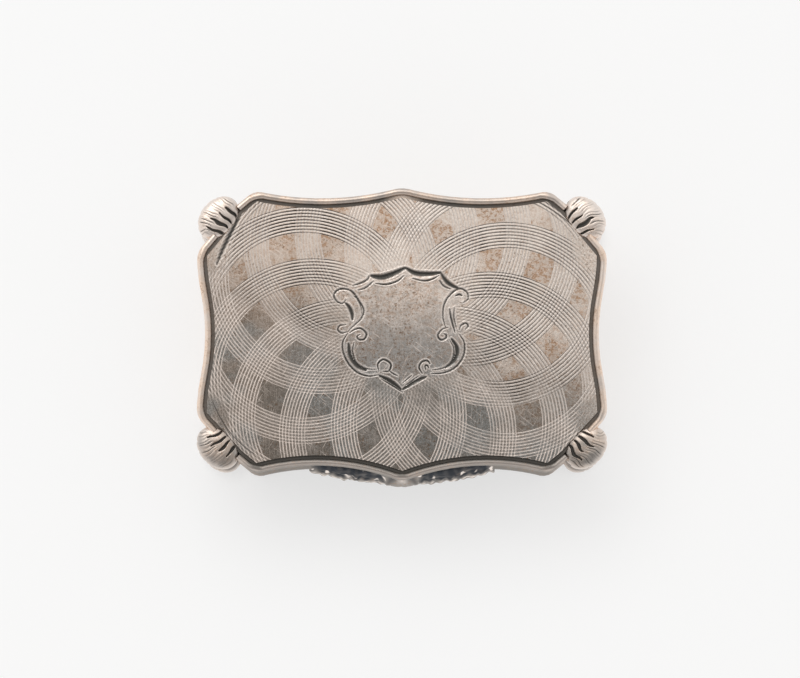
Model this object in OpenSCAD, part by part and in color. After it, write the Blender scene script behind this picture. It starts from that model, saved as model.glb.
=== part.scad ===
// Silver vinaigrette: a small hinged box with a pierced inner grille over a scented sponge.
// Frame: origin under the middle of the case on the table, +Z up, hinge at +Y, thumbpiece at -Y.
// All lengths are in millimetres.

/* [Case outline] */
// Width of the mouldings between the side shoulders
box_w = 42; // [36:0.5:50]
// Depth of the mouldings between the front and back points
box_d = 30.2; // [26:0.2:36]
// Width of the cut corner, along the front
corner_w = 5.9; // [5.5:0.1:7]
// Depth of the cut corner, along the side
corner_d = 6.7; // [6:0.1:8]
// Width from the end of the front curve to the bend in the cut corner
bend_w = 1.9; // [1.6:0.1:2.2]
// Depth from the end of the front curve to the bend in the cut corner
bend_d = 1.55; // [1.3:0.05:1.8]
// How far the corner ends of the back curves lie in from the back point
back_drop = 0.35; // [0:0.05:0.8]
// How far the corner ends of the front curves lie in from the front point
front_drop = 0.8; // [0:0.05:1.2]
// How far each of the two back curves is drawn in
back_sag = 0.95; // [0.5:0.05:1.3]
// How far each of the two front curves is drawn in
front_sag = 1.25; // [0.6:0.05:1.7]
// How far the sides are drawn in at the middle
side_waist = 0.85; // [0:0.05:1.2]

/* [Heights] */
// Height of the base, from the table to the parting line
base_h = 7; // [6:0.1:10]
// Height of the lid, from the parting line to the top of its bead
lid_h = 4.4; // [3.8:0.1:6]
// Rise of the lid panel's crown above its flat margin
crown = 0.4; // [0:0.05:0.8]
// Gap at the parting line
lid_gap = 0.1; // [0.05:0.01:0.2]

/* [Sheet and mouldings] */
// Thickness of the side walls
wall_t = 0.7; // [0.6:0.05:1]
// Thickness of the lid panel and the bottom plate
plate_t = 0.6; // [0.4:0.05:0.8]
// How far the mouldings stand out from the walls
overhang = 1.3; // [1.2:0.05:1.8]
// Height of a moulding
moulding_h = 1.7; // [1.5:0.05:2.2]
// Width of the bead on a moulding
bead_w = 0.68; // [0.5:0.02:0.9]
// Width of the groove between the bead and the panel
groove_w = 0.35; // [0.2:0.05:0.5]
// How far the lid panel's margin lies below the top of the bead
panel_drop = 0.25; // [0.1:0.05:0.5]
// Gap between the table and the bottom moulding's bead
bead_lift = 0.1; // [0.05:0.05:0.3]

/* [Corner leaves] */
// Length of a corner leaf along the cut corner
leaf_l = 4.9; // [4.2:0.1:5.6]
// How far a corner leaf reaches outwards from its centre
leaf_r = 1.85; // [1.6:0.05:2.3]
// How far the leaf's centre lies outside the cut corner
leaf_out = 0.6; // [0.4:0.05:0.8]
// Distance of the leaf's centre from the bend, along the cut corner
leaf_shift = 2.1; // [1.6:0.1:2.6]
// Thickness of a corner leaf at its rounded edge
leaf_edge = 0.6; // [0.5:0.05:0.8]
// How far a lid leaf stands up above the bead
leaf_proud = 0.12; // [0:0.02:0.2]
// Swell of a corner leaf's plain side, which faces the middle of the case
leaf_back = 0.4; // [0.3:0.05:0.5]
// Depth of the clefts between the leaf's lobes
leaf_cleft = 0.25; // [0.1:0.05:0.35]
// Depth of the notches between the lobes at the leaf's edge
leaf_notch = 0.2; // [0.05:0.05:0.3]
// Number of lobes on a corner leaf
leaf_lobes = 5; // [3:1:7]

/* [Thumbpiece] */
// Width of the thumbpiece
thumb_w = 19; // [12:0.2:22]
// How far the thumbpiece stands out past the front point of the lid moulding
thumb_reach = 0.45; // [0.2:0.05:1.2]
// How far the ends of the thumbpiece lie behind its middle
thumb_sweep = 1.3; // [0.8:0.05:1.6]
// How far the thumbpiece's lip hangs below the parting line
thumb_lip = 0.5; // [0:0.05:0.8]
// Number of leaves on each side of the thumbpiece's middle boss
thumb_leaves = 3; // [2:1:6]
// Depth of the clefts between those leaves
thumb_cleft = 0.45; // [0.1:0.05:0.6]

/* [Lid hinge] */
// Length of the lid hinge
hinge_len = 24; // [16:0.5:26]
// Number of lugs in the lid hinge, an odd number
hinge_lugs = 5; // [3:2:9]
// Outer radius of the lid hinge's lugs
hinge_r = 0.8; // [0.7:0.05:0.85]
// Radius of the lid hinge's pin
hinge_pin_r = 0.4; // [0.3:0.05:0.5]
// How far the hinge axis lies outside the back wall
hinge_set = 0.45; // [0.4:0.05:0.5]

/* [Bezel and ledge] */
// Thickness of the bezel
bezel_t = 0.45; // [0.35:0.05:0.6]
// Rise of the bezel above the parting line
bezel_rise = 1.2; // [0.9:0.05:1.5]
// Depth of the bezel below the parting line
bezel_depth = 2.2; // [1.6:0.1:3]
// Gap between the bezel and the lid's wall
lid_clear = 0.15; // [0.1:0.01:0.25]
// Width of the ledge that carries the grille
ledge_w = 0.8; // [0.6:0.05:1.2]
// Thickness of that ledge
ledge_t = 0.6; // [0.4:0.05:0.8]

/* [Grille] */
// Thickness of the grille
grille_t = 0.45; // [0.35:0.05:0.6]
// Gap around the grille
grille_clear = 0.15; // [0.1:0.01:0.25]
// How far the grille's top lies below the bezel's rim
grille_drop = 0.35; // [0.2:0.05:0.5]
// Plain margin round the grille's piercing
grille_margin = 1.1; // [0.8:0.1:1.6]
// Length of the grille's hinge
grille_hinge_len = 18; // [12:0.5:22]
// Number of lugs in the grille's hinge, an odd number
grille_lugs = 5; // [3:2:7]
// Outer radius of the grille hinge's lugs
grille_lug_r = 0.55; // [0.5:0.05:0.6]
// Radius of the grille's pin
grille_pin_r = 0.25; // [0.2:0.05:0.3]
// Width of the grille's lifting tab
tab_w = 4; // [3:0.2:6]
// Height of the grille's lifting tab
tab_h = 0.9; // [0.5:0.05:1.2]
// Thickness of the grille's lifting tab
tab_t = 0.4; // [0.3:0.05:0.6]

/* [Grille piercing] */
// Radius of the middle rosette
rosette_r = 3.5; // [3:0.1:4]
// Number of petals in the middle rosette
rosette_petals = 8; // [6:1:10]
// Radius of the first turn of each large scroll
scroll_r = 4.3; // [3.8:0.1:4.8]
// Radius of the first turn of each small scroll
small_scroll_r = 2.3; // [2:0.1:2.6]
// Each turn of a scroll as a share of the turn before it
scroll_taper = 0.7; // [0.6:0.02:0.76]
// Width of the scrolling stems
stem_w = 0.55; // [0.4:0.05:0.7]
// Length of the leaves on the scrolls
spray_l = 2.4; // [1.6:0.1:3]
// Width of those leaves
spray_w = 0.95; // [0.6:0.05:1.2]

/* [Sponge] */
// Gap between the sponge and what surrounds it
sponge_clear = 0.4; // [0.2:0.05:0.8]
// Radius of the sponge's soft edges
sponge_round = 0.9; // [0.4:0.1:1.2]

/* [Hidden] */
$fn = 64;

// Finishes
silver = "#b5aaa0";
shaded_silver = "#9c9188";
gilt = "#c9a253";
sponge_buff = "#d8b878";

// Clearances of the hinges
lug_gap = 0.1;
trough_clear = 0.1;
pin_clear = 0.03;
cut_past = 1;

// Steps of the outline in one quarter
side_steps = 5;
corner_steps = 3;
bow_steps = 8;

// Steps of the rounded sections
bead_steps = 5;
cove_steps = 3;
crown_steps = 4;
leaf_rings = 4;
lobe_steps = 4;
chord_steps = 4;
thumb_steps = 6;
sponge_steps = 3;

// Upright part of a moulding between its bead and its cove, as a share of the moulding's height
upright_share = 0.2;

// Where the lobes of a corner leaf meet, as a share of the way from its centre to its straight side
leaf_root_share = 0.5;

// Thumbpiece: level of its fullest part, roundness above that, lean of its leaves, rise of its ends
thumb_belly = 0.4;
thumb_roll = 1.1;
thumb_lean = 0.1;
thumb_end_rise = 0.45;

// Grille: eye and start of the scrolls in rosette radii, bud in stem widths, long leaves in short ones
rosette_eye = 0.32;
scroll_start = [0.86, 1.1];
scroll_turns = 4;
bud_share = 1.4;
long_spray = 1.65;

// Grille: angles of the leaves round the first turn of a scroll, of their lean, of the long leaves
spray_first = 170;
spray_sweep = 150;
spray_lean = -50;
inner_lean = 215;
rosette_spray_angle = 58;
corner_spray_angle = 48;

// Levels
lid_top = base_h + lid_h;
lid_seat = lid_top - panel_drop - plate_t;
lid_wall_top = lid_top - moulding_h;
lid_wall_foot = base_h + lid_gap;
base_wall_foot = bead_lift + moulding_h;
bezel_foot = base_h - bezel_depth;
bezel_top = base_h + bezel_rise;
grille_top = bezel_top - grille_drop;
grille_foot = grille_top - grille_t;
ledge_foot = grille_foot - ledge_t;

// Insets from the mouldings' outline
panel_in = bead_w + groove_w;
wall_in = overhang;
wall_inner = overhang + wall_t;
bezel_inner = wall_inner + bezel_t;
ledge_inner = bezel_inner + ledge_w;
grille_in = bezel_inner + grille_clear;

// The back wall is straight, at the depth where the back curves are drawn in the most
back_mid_y = box_d / 2 - back_drop / 2 - back_sag;
front_mid_y = -(box_d / 2 - front_drop / 2 - front_sag);
hinge_wall_y = back_mid_y - wall_in;

// Hinge axes
hinge_y = hinge_wall_y + hinge_set;
hinge_z = base_h + lid_gap / 2;
grille_axis_y = hinge_wall_y - (bezel_inner - wall_in) - grille_clear - grille_lug_r;
grille_axis_z = grille_top - grille_t / 2;
grille_back_y = grille_axis_y - grille_lug_r - trough_clear;
grille_mid_y = (grille_back_y + front_mid_y + grille_in) / 2;

// Points and lists
function unit(v) = v / norm(v);
function mirrored_x(p) = [-p.x, p.y];
function mirrored_y(p) = [p.x, -p.y];
function flat(list) = [for (part = list) for (item = part) item];

// Corners of one quarter of the outline, two of them at the drop of the front or back curves' ends
side_end = [box_w / 2, box_d / 2 - corner_d];
bow_point = [0, box_d / 2];
function bow_end(drop) = [box_w / 2 - corner_w, box_d / 2 - drop];
function bend(drop) = bow_end(drop) + [bend_w, -bend_d];

// An arc from p to q that is drawn in by sag to its left, as a list of steps + 1 points
function sagged(p, q, sag, steps) =
    let (half = norm(q - p) / 2,
         radius = (half * half + sag * sag) / (2 * sag),
         along = unit(q - p),
         left = [-along.y, along.x],
         middle = (p + q) / 2 + left * (sag - radius),
         reach = asin(half / radius))
    [for (i = [0:steps])
        let (turn = -reach + 2 * reach * i / steps)
        middle + radius * (along * sin(turn) + left * cos(turn))];

// One quarter of the outline, from the middle of the right side round to the back point
function quarter(drop, sag) = concat(
    [for (i = [0:side_steps - 1])
        let (share = i / side_steps)
        [side_end.x - side_waist * (1 + cos(180 * share)) / 2, side_end.y * share]],
    [for (i = [0:corner_steps - 1]) side_end + (bend(drop) - side_end) * i / (corner_steps - 1)],
    sagged(bow_end(drop), bow_point, sag, bow_steps)
);

// The whole outline, counter-clockwise, from a back quarter and a front one
function whole(back, front) = let (last = len(back) - 1) concat(
    back,
    [for (i = [last - 1:-1:0]) mirrored_x(back[i])],
    [for (i = [1:last]) -front[i]],
    [for (i = [last - 1:-1:1]) mirrored_y(front[i])]
);
outline = whole(quarter(back_drop, back_sag), quarter(front_drop, front_sag));
around = len(outline);

// The outline moved in by a distance, with mitred corners
function inset(distance) = [for (i = [0:around - 1])
    let (before = unit(outline[i] - outline[(i + around - 1) % around]),
         after = unit(outline[(i + 1) % around] - outline[i]),
         in_before = [-before.y, before.x],
         in_after = [-after.y, after.x])
    outline[i] + distance * (in_before + in_after) / (1 + in_before * in_after)];

// The same with a straight back: the cut corners run on to meet it and the back points are spread along it
last_step = side_steps + corner_steps + bow_steps;
function walled(distance) =
    let (back = hinge_wall_y - (distance - wall_in),
         full = inset(distance),
         start = full[side_steps],
         way = bend(back_drop) - side_end,
         corner = start + way * (back - start.y) / way.y,
         edge = concat(
             [for (i = [0:side_steps - 1]) full[i]],
             [for (i = [0:corner_steps - 1]) start + (corner - start) * i / corner_steps],
             [for (i = [0:bow_steps]) [corner.x * (1 - i / bow_steps), back]]))
    [for (i = [0:around - 1])
        i <= last_step ? edge[i] : i <= 2 * last_step ? mirrored_x(edge[2 * last_step - i]) : full[i]];

function at_height(points, z) = [for (p = points) [p.x, p.y, z]];

// Triangles between neighbouring rings of equal length
function side_faces(rings, count, closed) =
    [for (k = [0:rings - (closed ? 1 : 2)]) for (i = [0:count - 1])
        let (a = k * count + i,
             b = k * count + (i + 1) % count,
             c = ((k + 1) % rings) * count + i,
             d = ((k + 1) % rings) * count + (i + 1) % count)
        each [[a, c, b], [b, c, d]]];

// A closed band from a loop of rings
module band(rings) {
    polyhedron(points = flat(rings), faces = side_faces(len(rings), len(rings[0]), true));
}

// A closed solid from a stack of rings, with a point at each end
module stack(rings, foot, head) {
    count = len(rings[0]);
    total = len(rings) * count;
    faces = concat(
        side_faces(len(rings), count, false),
        [for (i = [0:count - 1]) [total, i, (i + 1) % count]],
        [for (i = [0:count - 1]) [total + 1, total - count + (i + 1) % count, total - count + i]]
    );
    polyhedron(points = concat(flat(rings), [foot, head]), faces = faces);
}

// A moulding round the case. face is the level of its bead, way is 1 upwards and -1 downwards
module moulding(face, way, seat) {
    bead_r = bead_w / 2;
    cove_top = bead_r + upright_share * moulding_h;
    function level(depth) = face - way * depth;
    rings = concat(
        [at_height(walled(wall_inner), level(seat)), at_height(inset(bead_w), level(seat))],
        [for (i = [0:bead_steps])
            let (turn = 180 * i / bead_steps)
            at_height(inset(bead_r * (1 + cos(turn))), level(bead_r * (1 - sin(turn))))],
        [for (i = [0:cove_steps - 1])
            let (turn = 90 * i / cove_steps)
            at_height(inset((overhang - bead_r) * (1 - cos(turn))),
                level(cove_top + (moulding_h - cove_top) * sin(turn)))],
        [at_height(walled(wall_in), level(moulding_h)), at_height(walled(wall_inner), level(moulding_h))]
    );
    difference() {
        band(way > 0 ? rings : [for (i = [len(rings) - 1:-1:0]) rings[i]]);
        for (sx = [-1, 1], sy = [-1, 1]) leaf_seat(face, way, sx, sy);
    }
}

// Straight-sided ring between two outlines
module ring_wall(outer, inner, foot, head) {
    translate([0, 0, foot])
        linear_extrude(head - foot)
            difference() {
                polygon(outer);
                polygon(inner);
            }
}

// Corner leaves, laid out for the right-hand corners: U outwards across the cut corner, V along it
leaf_chord = -bead_w - leaf_out;
leaf_open = acos(leaf_chord / leaf_r);
leaf_root = [leaf_root_share * leaf_chord, 0];
leaf_arc_steps = leaf_lobes * lobe_steps;
leaf_shares = [for (i = [0:leaf_rings - 1]) cos(90 * i / leaf_rings)];
leaf_mid = moulding_h / 2;

// How much of a lobe's ridge there is at a step of the plan, from 0 in a cleft to 1
function leaf_ridge(step) = step > leaf_arc_steps ? 1 : abs(sin(180 * leaf_lobes * step / leaf_arc_steps));
function leaf_plan() = concat(
    [for (i = [0:leaf_arc_steps])
        let (turn = -leaf_open + 2 * leaf_open * i / leaf_arc_steps,
             notch = i % leaf_arc_steps == 0 ? 0 : leaf_notch * (1 - leaf_ridge(i)))
        (1 - notch / leaf_r) * [leaf_r * cos(turn), leaf_l / 2 * sin(turn)]],
    [for (i = [1:chord_steps - 1])
        [leaf_chord, leaf_l / 2 * sin(leaf_open) * (1 - 2 * i / chord_steps)]]
);
function leaf_place(p, sx, sy) =
    let (corner = bend(sy > 0 ? back_drop : front_drop),
         along = unit(corner - side_end),
         outward = [along.y, -along.x],
         q = corner + along * (p.y - leaf_shift) + outward * (p.x + leaf_out))
    [sx * q.x, sy * q.y];

// The room that a leaf takes up in its moulding
module leaf_seat(face, way, sx, sy) {
    depth = leaf_mid + leaf_edge / 2 + leaf_back;
    translate([0, 0, way > 0 ? face - depth : face - cut_past])
        linear_extrude(depth + cut_past)
            polygon([for (p = leaf_plan()) leaf_place(p, sx, sy)]);
}

// A cushion-shaped leaf at mid-height of its moulding, lobed on the side that faces away from the case
module leaf(face, way, sx, sy, proud) {
    half_edge = leaf_edge / 2;
    middle = face - way * leaf_mid;
    front_swell = leaf_mid + proud - half_edge;
    plan = leaf_plan();
    function spot(p, z) = let (q = leaf_place(p, sx, sy)) [q.x, q.y, z];
    function round_off(share) = sqrt(1 - share * share);
    function front_z(step, share) = middle + way * (half_edge + front_swell * round_off(share)
        - leaf_cleft * share * (1 - leaf_ridge(step)));
    function back_z(share) = middle - way * (half_edge + leaf_back * round_off(share));
    function ring(share, front) = [for (i = [0:len(plan) - 1])
        spot(leaf_root + (plan[i] - leaf_root) * share, front ? front_z(i, share) : back_z(share))];
    last = len(leaf_shares) - 1;
    rings = concat(
        [for (k = [last:-1:0]) ring(leaf_shares[k], false)],
        [for (k = [0:last]) ring(leaf_shares[k], true)]
    );
    turned = sx * sy * way < 0;
    stack(turned ? [for (r = rings) [for (i = [len(r) - 1:-1:0]) r[i]]] : rings,
        spot(leaf_root, back_z(0)), spot(leaf_root, middle + way * (half_edge + front_swell)));
}

// Lugs of a hinge along X, every second one from the first index, each with the children as its section
function lug_x(length, lugs, index) = -length / 2 + length / lugs * index;
module lug_spans(length, lugs, first, grow) {
    span = length / lugs;
    for (i = [first:2:lugs - 1])
        translate([lug_x(length, lugs, i) + lug_gap / 2 - grow, 0, 0])
            rotate([0, 90, 0])
                linear_extrude(span - lug_gap + 2 * grow)
                    children();
}

// Room for the lid hinge in a wall: a close seat for its own lugs, a trough for the others
module hinge_room(own_first) {
    translate([0, hinge_y, hinge_z]) {
        lug_spans(hinge_len, hinge_lugs, own_first, 0) circle(hinge_r);
        lug_spans(hinge_len, hinge_lugs, 1 - own_first, lug_gap) circle(hinge_r + trough_clear);
    }
}

module base_plate() {
    color(silver) linear_extrude(plate_t) polygon(inset(panel_in));
}

module base_moulding() {
    color(silver) moulding(bead_lift, -1, plate_t - bead_lift);
}

module base_wall() {
    color(shaded_silver) difference() {
        ring_wall(walled(wall_in), walled(wall_inner), base_wall_foot, base_h);
        hinge_room(0);
    }
}

module bezel() {
    lead = lid_clear;
    color(gilt) band([
        at_height(walled(wall_inner), bezel_foot),
        at_height(walled(wall_inner), base_h - lead),
        at_height(walled(wall_inner + lid_clear), base_h),
        at_height(walled(wall_inner + lid_clear), bezel_top - lead),
        at_height(walled(wall_inner + lid_clear + lead / 2), bezel_top),
        at_height(walled(bezel_inner), bezel_top),
        at_height(walled(bezel_inner), bezel_foot)
    ]);
}

// The ledge stops short of the grille's hinge
module grille_ledge() {
    room = grille_hinge_len + 4 * lug_gap;
    color(gilt) difference() {
        ring_wall(walled(bezel_inner), walled(ledge_inner), ledge_foot, grille_foot);
        translate([-room / 2, grille_axis_y - grille_lug_r - trough_clear, ledge_foot - cut_past])
            cube([room, box_d, ledge_t + 2 * cut_past]);
    }
}

module base_hinge_lugs() {
    color(silver) translate([0, hinge_y, hinge_z])
        lug_spans(hinge_len, hinge_lugs, 0, 0)
            difference() {
                circle(hinge_r);
                circle(hinge_pin_r);
            }
}

module hinge_pin() {
    color(shaded_silver) translate([-hinge_len / 2 + lug_gap / 2, hinge_y, hinge_z])
        rotate([0, 90, 0])
            cylinder(h = hinge_len - lug_gap, r = hinge_pin_r);
}

// Each bracket is a lug with a leaf that reaches back to the bezel
module grille_hinge_brackets() {
    back = hinge_wall_y - (bezel_inner - wall_in);
    color(gilt) translate([0, grille_axis_y, grille_axis_z])
        lug_spans(grille_hinge_len, grille_lugs, 0, 0)
            difference() {
                union() {
                    circle(grille_lug_r);
                    square([grille_lug_r, back - grille_axis_y]);
                }
                circle(grille_pin_r);
            }
}

module grille_pin() {
    color(gilt) translate([-grille_hinge_len / 2 + lug_gap / 2, grille_axis_y, grille_axis_z])
        rotate([0, 90, 0])
            cylinder(h = grille_hinge_len - lug_gap, r = grille_pin_r);
}

// The sponge fills the space below the grille, with soft edges
module sponge() {
    low = plate_t;
    high = ledge_foot - sponge_clear;
    plan = walled(bezel_inner + sponge_clear);
    edge = [for (i = [0:sponge_steps])
        let (turn = 90 * i / sponge_steps) sponge_round * [1 - sin(turn), 1 - cos(turn)]];
    function drawn_in(e, z) = at_height([for (p = plan) p * (1 - 2 * e.x / box_d)], z);
    rings = concat(
        [for (e = edge) drawn_in(e, low + e.y)],
        [for (i = [sponge_steps:-1:0]) drawn_in(edge[i], high - edge[i].y)]
    );
    color(sponge_buff) stack(rings, [0, 0, low], [0, 0, high]);
}

// The lid panel is sheet metal, crowned inside its flat margin
module lid_panel() {
    margin = walled(wall_inner);
    function crowned(share, z) = at_height([for (p = margin) p * share], z + crown * (1 - share * share));
    shares = [for (i = [0:crown_steps]) 1 - i / (crown_steps + 1)];
    head = lid_seat + plate_t;
    rings = concat(
        [for (i = [crown_steps:-1:0]) crowned(shares[i], lid_seat)],
        [at_height(inset(panel_in), lid_seat), at_height(inset(panel_in), head)],
        [for (share = shares) crowned(share, head)]
    );
    color(silver) stack(rings, [0, 0, lid_seat + crown], [0, 0, head + crown]);
}

module lid_moulding() {
    color(silver) moulding(lid_top, 1, panel_drop + plate_t);
}

module lid_wall() {
    color(shaded_silver) difference() {
        ring_wall(walled(wall_in), walled(wall_inner), lid_wall_foot, lid_wall_top);
        hinge_room(1);
    }
}

module lid_hinge_lugs() {
    color(silver) translate([0, hinge_y, hinge_z])
        lug_spans(hinge_len, hinge_lugs, 1, 0)
            difference() {
                circle(hinge_r);
                circle(hinge_pin_r + pin_clear);
            }
}

// The thumbpiece is a bow of leaning leaves on each side of a boss, seated on the lid's front wall
module thumbpiece() {
    half_steps = (thumb_leaves + 1) * lobe_steps;
    head = lid_wall_top;
    spacing = 1 / (thumb_leaves + 0.5);
    front = -(box_d / 2 + thumb_reach);
    inside = front_mid_y + wall_in + wall_t / 2;
    end_rise = thumb_end_rise * (head - base_h);
    // How far the face lies behind its fullest part, and the depth of a cleft in it, at a share of the height
    function roll(level) = thumb_roll * pow((level - thumb_belly) / (1 - thumb_belly), 2);
    function cleft(share, level) =
        let (past = max(0, abs(share) - thumb_lean * (1 - level)))
        thumb_cleft * (1 - level * level) * (1 - abs(cos(180 * past / spacing)));
    function section(share) =
        let (x = share * thumb_w / 2,
             out = front + thumb_sweep * share * share,
             foot = base_h - thumb_lip + (thumb_lip + end_rise) * share * share + cleft(share, 0))
        concat(
            [[x, inside, head], [x, inside, foot]],
            [for (i = [0:thumb_steps])
                let (level = i / thumb_steps)
                [x, out + roll(level) + cleft(share, level), foot + (head - foot) * level]]);
    sections = [for (i = [-half_steps:half_steps]) section(i / half_steps)];
    function middle(ring) = [ring[0].x, (ring[0].y + ring[4].y) / 2, (ring[0].z + ring[1].z) / 2];
    color(silver) difference() {
        stack(sections, middle(sections[0]), middle(sections[len(sections) - 1]));
        translate([0, 0, base_h - lid_h])
            linear_extrude(2 * lid_h)
                polygon(walled(wall_in));
    }
}

// A pointed leaf along +X, as the overlap of two discs
module pointed_leaf(length, width) {
    radius = (length * length + width * width) / (4 * width);
    translate([length / 2, 0])
        intersection() {
            translate([0, radius - width / 2]) circle(radius);
            translate([0, width / 2 - radius]) circle(radius);
        }
}

// Half a turn of a scroll about the origin, on the +Y side
module half_turn(radius) {
    intersection() {
        difference() {
            circle(radius + stem_w / 2);
            circle(radius - stem_w / 2);
        }
        translate([-2 * radius, 0]) square([4 * radius, 2 * radius]);
    }
}

// A scroll from the origin towards +X, of half turns that shrink towards a bud, with leaves on both its sides
module scroll(radius, leaves) {
    step = spray_sweep / (leaves - 1);
    function turn_r(k) = radius * pow(scroll_taper, k);
    function from_x(k) = k == 0 ? 0 : from_x(k - 1) + 2 * turn_r(k - 1) * (k % 2 == 1 ? 1 : -1);
    for (k = [0:scroll_turns - 1])
        translate([from_x(k) + turn_r(k) * (k % 2 == 0 ? 1 : -1), 0])
            rotate(k % 2 == 0 ? 0 : 180)
                half_turn(turn_r(k));
    translate([from_x(scroll_turns) + stem_w / 2, 0]) circle(bud_share * stem_w);
    translate([radius, 0])
        for (i = [0:leaves - 1]) {
            rotate(spray_first - step * i)
                translate([radius, 0])
                    rotate(spray_lean)
                        pointed_leaf(spray_l, spray_w);
            if (i > 0)
                rotate(spray_first - step * (i - 0.5))
                    translate([radius, 0])
                        rotate(inner_lean)
                            pointed_leaf(spray_l / 2, spray_w);
        }
}

// Scrollwork of the grille: a rosette with a large and a small scroll in each quarter
module scrollwork() {
    start = rosette_r * scroll_start;
    tip = start + [2 * scroll_r, 0];
    for (i = [0:rosette_petals - 1])
        rotate(360 * (i + 0.5) / rosette_petals)
            pointed_leaf(rosette_r, 2 * rosette_r / rosette_petals + stem_w);
    difference() {
        circle(rosette_r + stem_w / 2);
        circle(rosette_r - stem_w / 2);
    }
    circle(rosette_eye * rosette_r);
    for (sx = [0, 1], sy = [0, 1])
        mirror([sx, 0])
            mirror([0, sy]) {
                translate(start) scroll(scroll_r, 5);
                translate(tip) mirror([0, 1]) scroll(small_scroll_r, 3);
                rotate(rosette_spray_angle)
                    translate([rosette_r, 0])
                        pointed_leaf(long_spray * spray_l, spray_w);
                translate(tip) rotate(corner_spray_angle) pointed_leaf(long_spray * spray_l, spray_w);
            }
    translate([-box_w / 2, -stem_w / 2]) square([box_w / 2 - rosette_r, stem_w]);
    translate([rosette_r, -stem_w / 2]) square([box_w / 2 - rosette_r, stem_w]);
}

// What is left of a plan that is drawn in by a distance on each side
module drawn_in(distance) {
    intersection() {
        translate([distance, 0]) children();
        translate([-distance, 0]) children();
        translate([0, distance]) children();
        translate([0, -distance]) children();
    }
}

// Plan of the grille with no piercing, short of its hinge
module grille_plan() {
    intersection() {
        polygon(walled(grille_in));
        translate([-box_w, grille_back_y - 2 * box_d]) square([2 * box_w, 2 * box_d]);
    }
}

module grille_plate() {
    color(gilt) difference() {
        translate([0, 0, grille_foot])
            linear_extrude(grille_t)
                union() {
                    difference() {
                        grille_plan();
                        drawn_in(grille_margin) grille_plan();
                    }
                    intersection() {
                        grille_plan();
                        translate([0, grille_mid_y]) scrollwork();
                    }
                    for (i = [1:2:grille_lugs - 1])
                        translate([lug_x(grille_hinge_len, grille_lugs, i) + lug_gap / 2,
                            grille_back_y - grille_margin / 2])
                            square([grille_hinge_len / grille_lugs - lug_gap,
                                grille_axis_y - grille_back_y + grille_margin / 2]);
                }
        translate([0, grille_axis_y, grille_axis_z])
            lug_spans(grille_hinge_len, grille_lugs, 1, lug_gap) circle(grille_lug_r);
    }
}

module grille_hinge_lugs() {
    color(gilt) translate([0, grille_axis_y, grille_axis_z])
        lug_spans(grille_hinge_len, grille_lugs, 1, 0)
            difference() {
                circle(grille_lug_r);
                circle(grille_pin_r + pin_clear);
            }
}

// The lifting tab stands on the grille near its front edge
module grille_tab() {
    front = front_mid_y + grille_in + grille_margin / 2;
    color(gilt) translate([0, front - tab_t / 2, grille_top])
        rotate([90, 0, 0])
            translate([0, 0, -tab_t])
                linear_extrude(tab_t)
                    intersection() {
                        translate([-tab_w / 2, 0]) square([tab_w, tab_h]);
                        translate([0, tab_h - tab_w]) circle(tab_w);
                    }
}

module base_leaf_front_left() {
    color(silver) leaf(bead_lift, -1, -1, -1, 0);
}

module base_leaf_front_right() {
    color(silver) leaf(bead_lift, -1, 1, -1, 0);
}

module base_leaf_back_left() {
    color(silver) leaf(bead_lift, -1, -1, 1, 0);
}

module base_leaf_back_right() {
    color(silver) leaf(bead_lift, -1, 1, 1, 0);
}

module lid_leaf_front_left() {
    color(silver) leaf(lid_top, 1, -1, -1, leaf_proud);
}

module lid_leaf_front_right() {
    color(silver) leaf(lid_top, 1, 1, -1, leaf_proud);
}

module lid_leaf_back_left() {
    color(silver) leaf(lid_top, 1, -1, 1, leaf_proud);
}

module lid_leaf_back_right() {
    color(silver) leaf(lid_top, 1, 1, 1, leaf_proud);
}

base_plate();
base_moulding();
base_wall();
bezel();
grille_ledge();
base_hinge_lugs();
hinge_pin();
grille_hinge_brackets();
grille_pin();
sponge();
base_leaf_front_left();
base_leaf_front_right();
base_leaf_back_left();
base_leaf_back_right();
lid_panel();
lid_moulding();
lid_wall();
lid_hinge_lugs();
thumbpiece();
lid_leaf_front_left();
lid_leaf_front_right();
lid_leaf_back_left();
lid_leaf_back_right();
grille_plate();
grille_hinge_lugs();
grille_tab();
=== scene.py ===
import math

import bmesh
import bpy
from bmesh.types import BMEdge, BMFace, BMVert
from bpy.props import FloatProperty, FloatVectorProperty, IntProperty, PointerProperty
from bpy.types import Operator, Panel, PropertyGroup
from mathutils import Matrix, Vector, geometry, kdtree, noise


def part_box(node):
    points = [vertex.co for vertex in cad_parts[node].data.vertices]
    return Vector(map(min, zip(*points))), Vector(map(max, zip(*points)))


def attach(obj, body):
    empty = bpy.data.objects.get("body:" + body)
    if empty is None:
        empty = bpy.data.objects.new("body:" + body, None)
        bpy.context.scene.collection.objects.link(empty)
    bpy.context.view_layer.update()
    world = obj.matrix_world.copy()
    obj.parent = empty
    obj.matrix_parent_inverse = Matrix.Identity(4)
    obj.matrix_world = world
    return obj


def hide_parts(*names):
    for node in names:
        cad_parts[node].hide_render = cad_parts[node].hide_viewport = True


bl_info = {
    "name": "Silver vinaigrette",
    "version": (1, 0, 0),
    "blender": (4, 5, 0),
    "location": "View3D > Sidebar > Vinaigrette",
    "description": "Dresses the hinged silver box, its gilt grille and its sponge",
    "category": "Object",
}

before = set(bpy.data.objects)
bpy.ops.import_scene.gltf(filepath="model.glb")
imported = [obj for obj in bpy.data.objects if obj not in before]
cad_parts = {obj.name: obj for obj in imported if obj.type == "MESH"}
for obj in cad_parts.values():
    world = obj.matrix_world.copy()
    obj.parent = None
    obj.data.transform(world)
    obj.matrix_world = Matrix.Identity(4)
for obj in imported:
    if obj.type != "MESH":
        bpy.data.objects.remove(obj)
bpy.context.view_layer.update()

MM = 0.001
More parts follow.
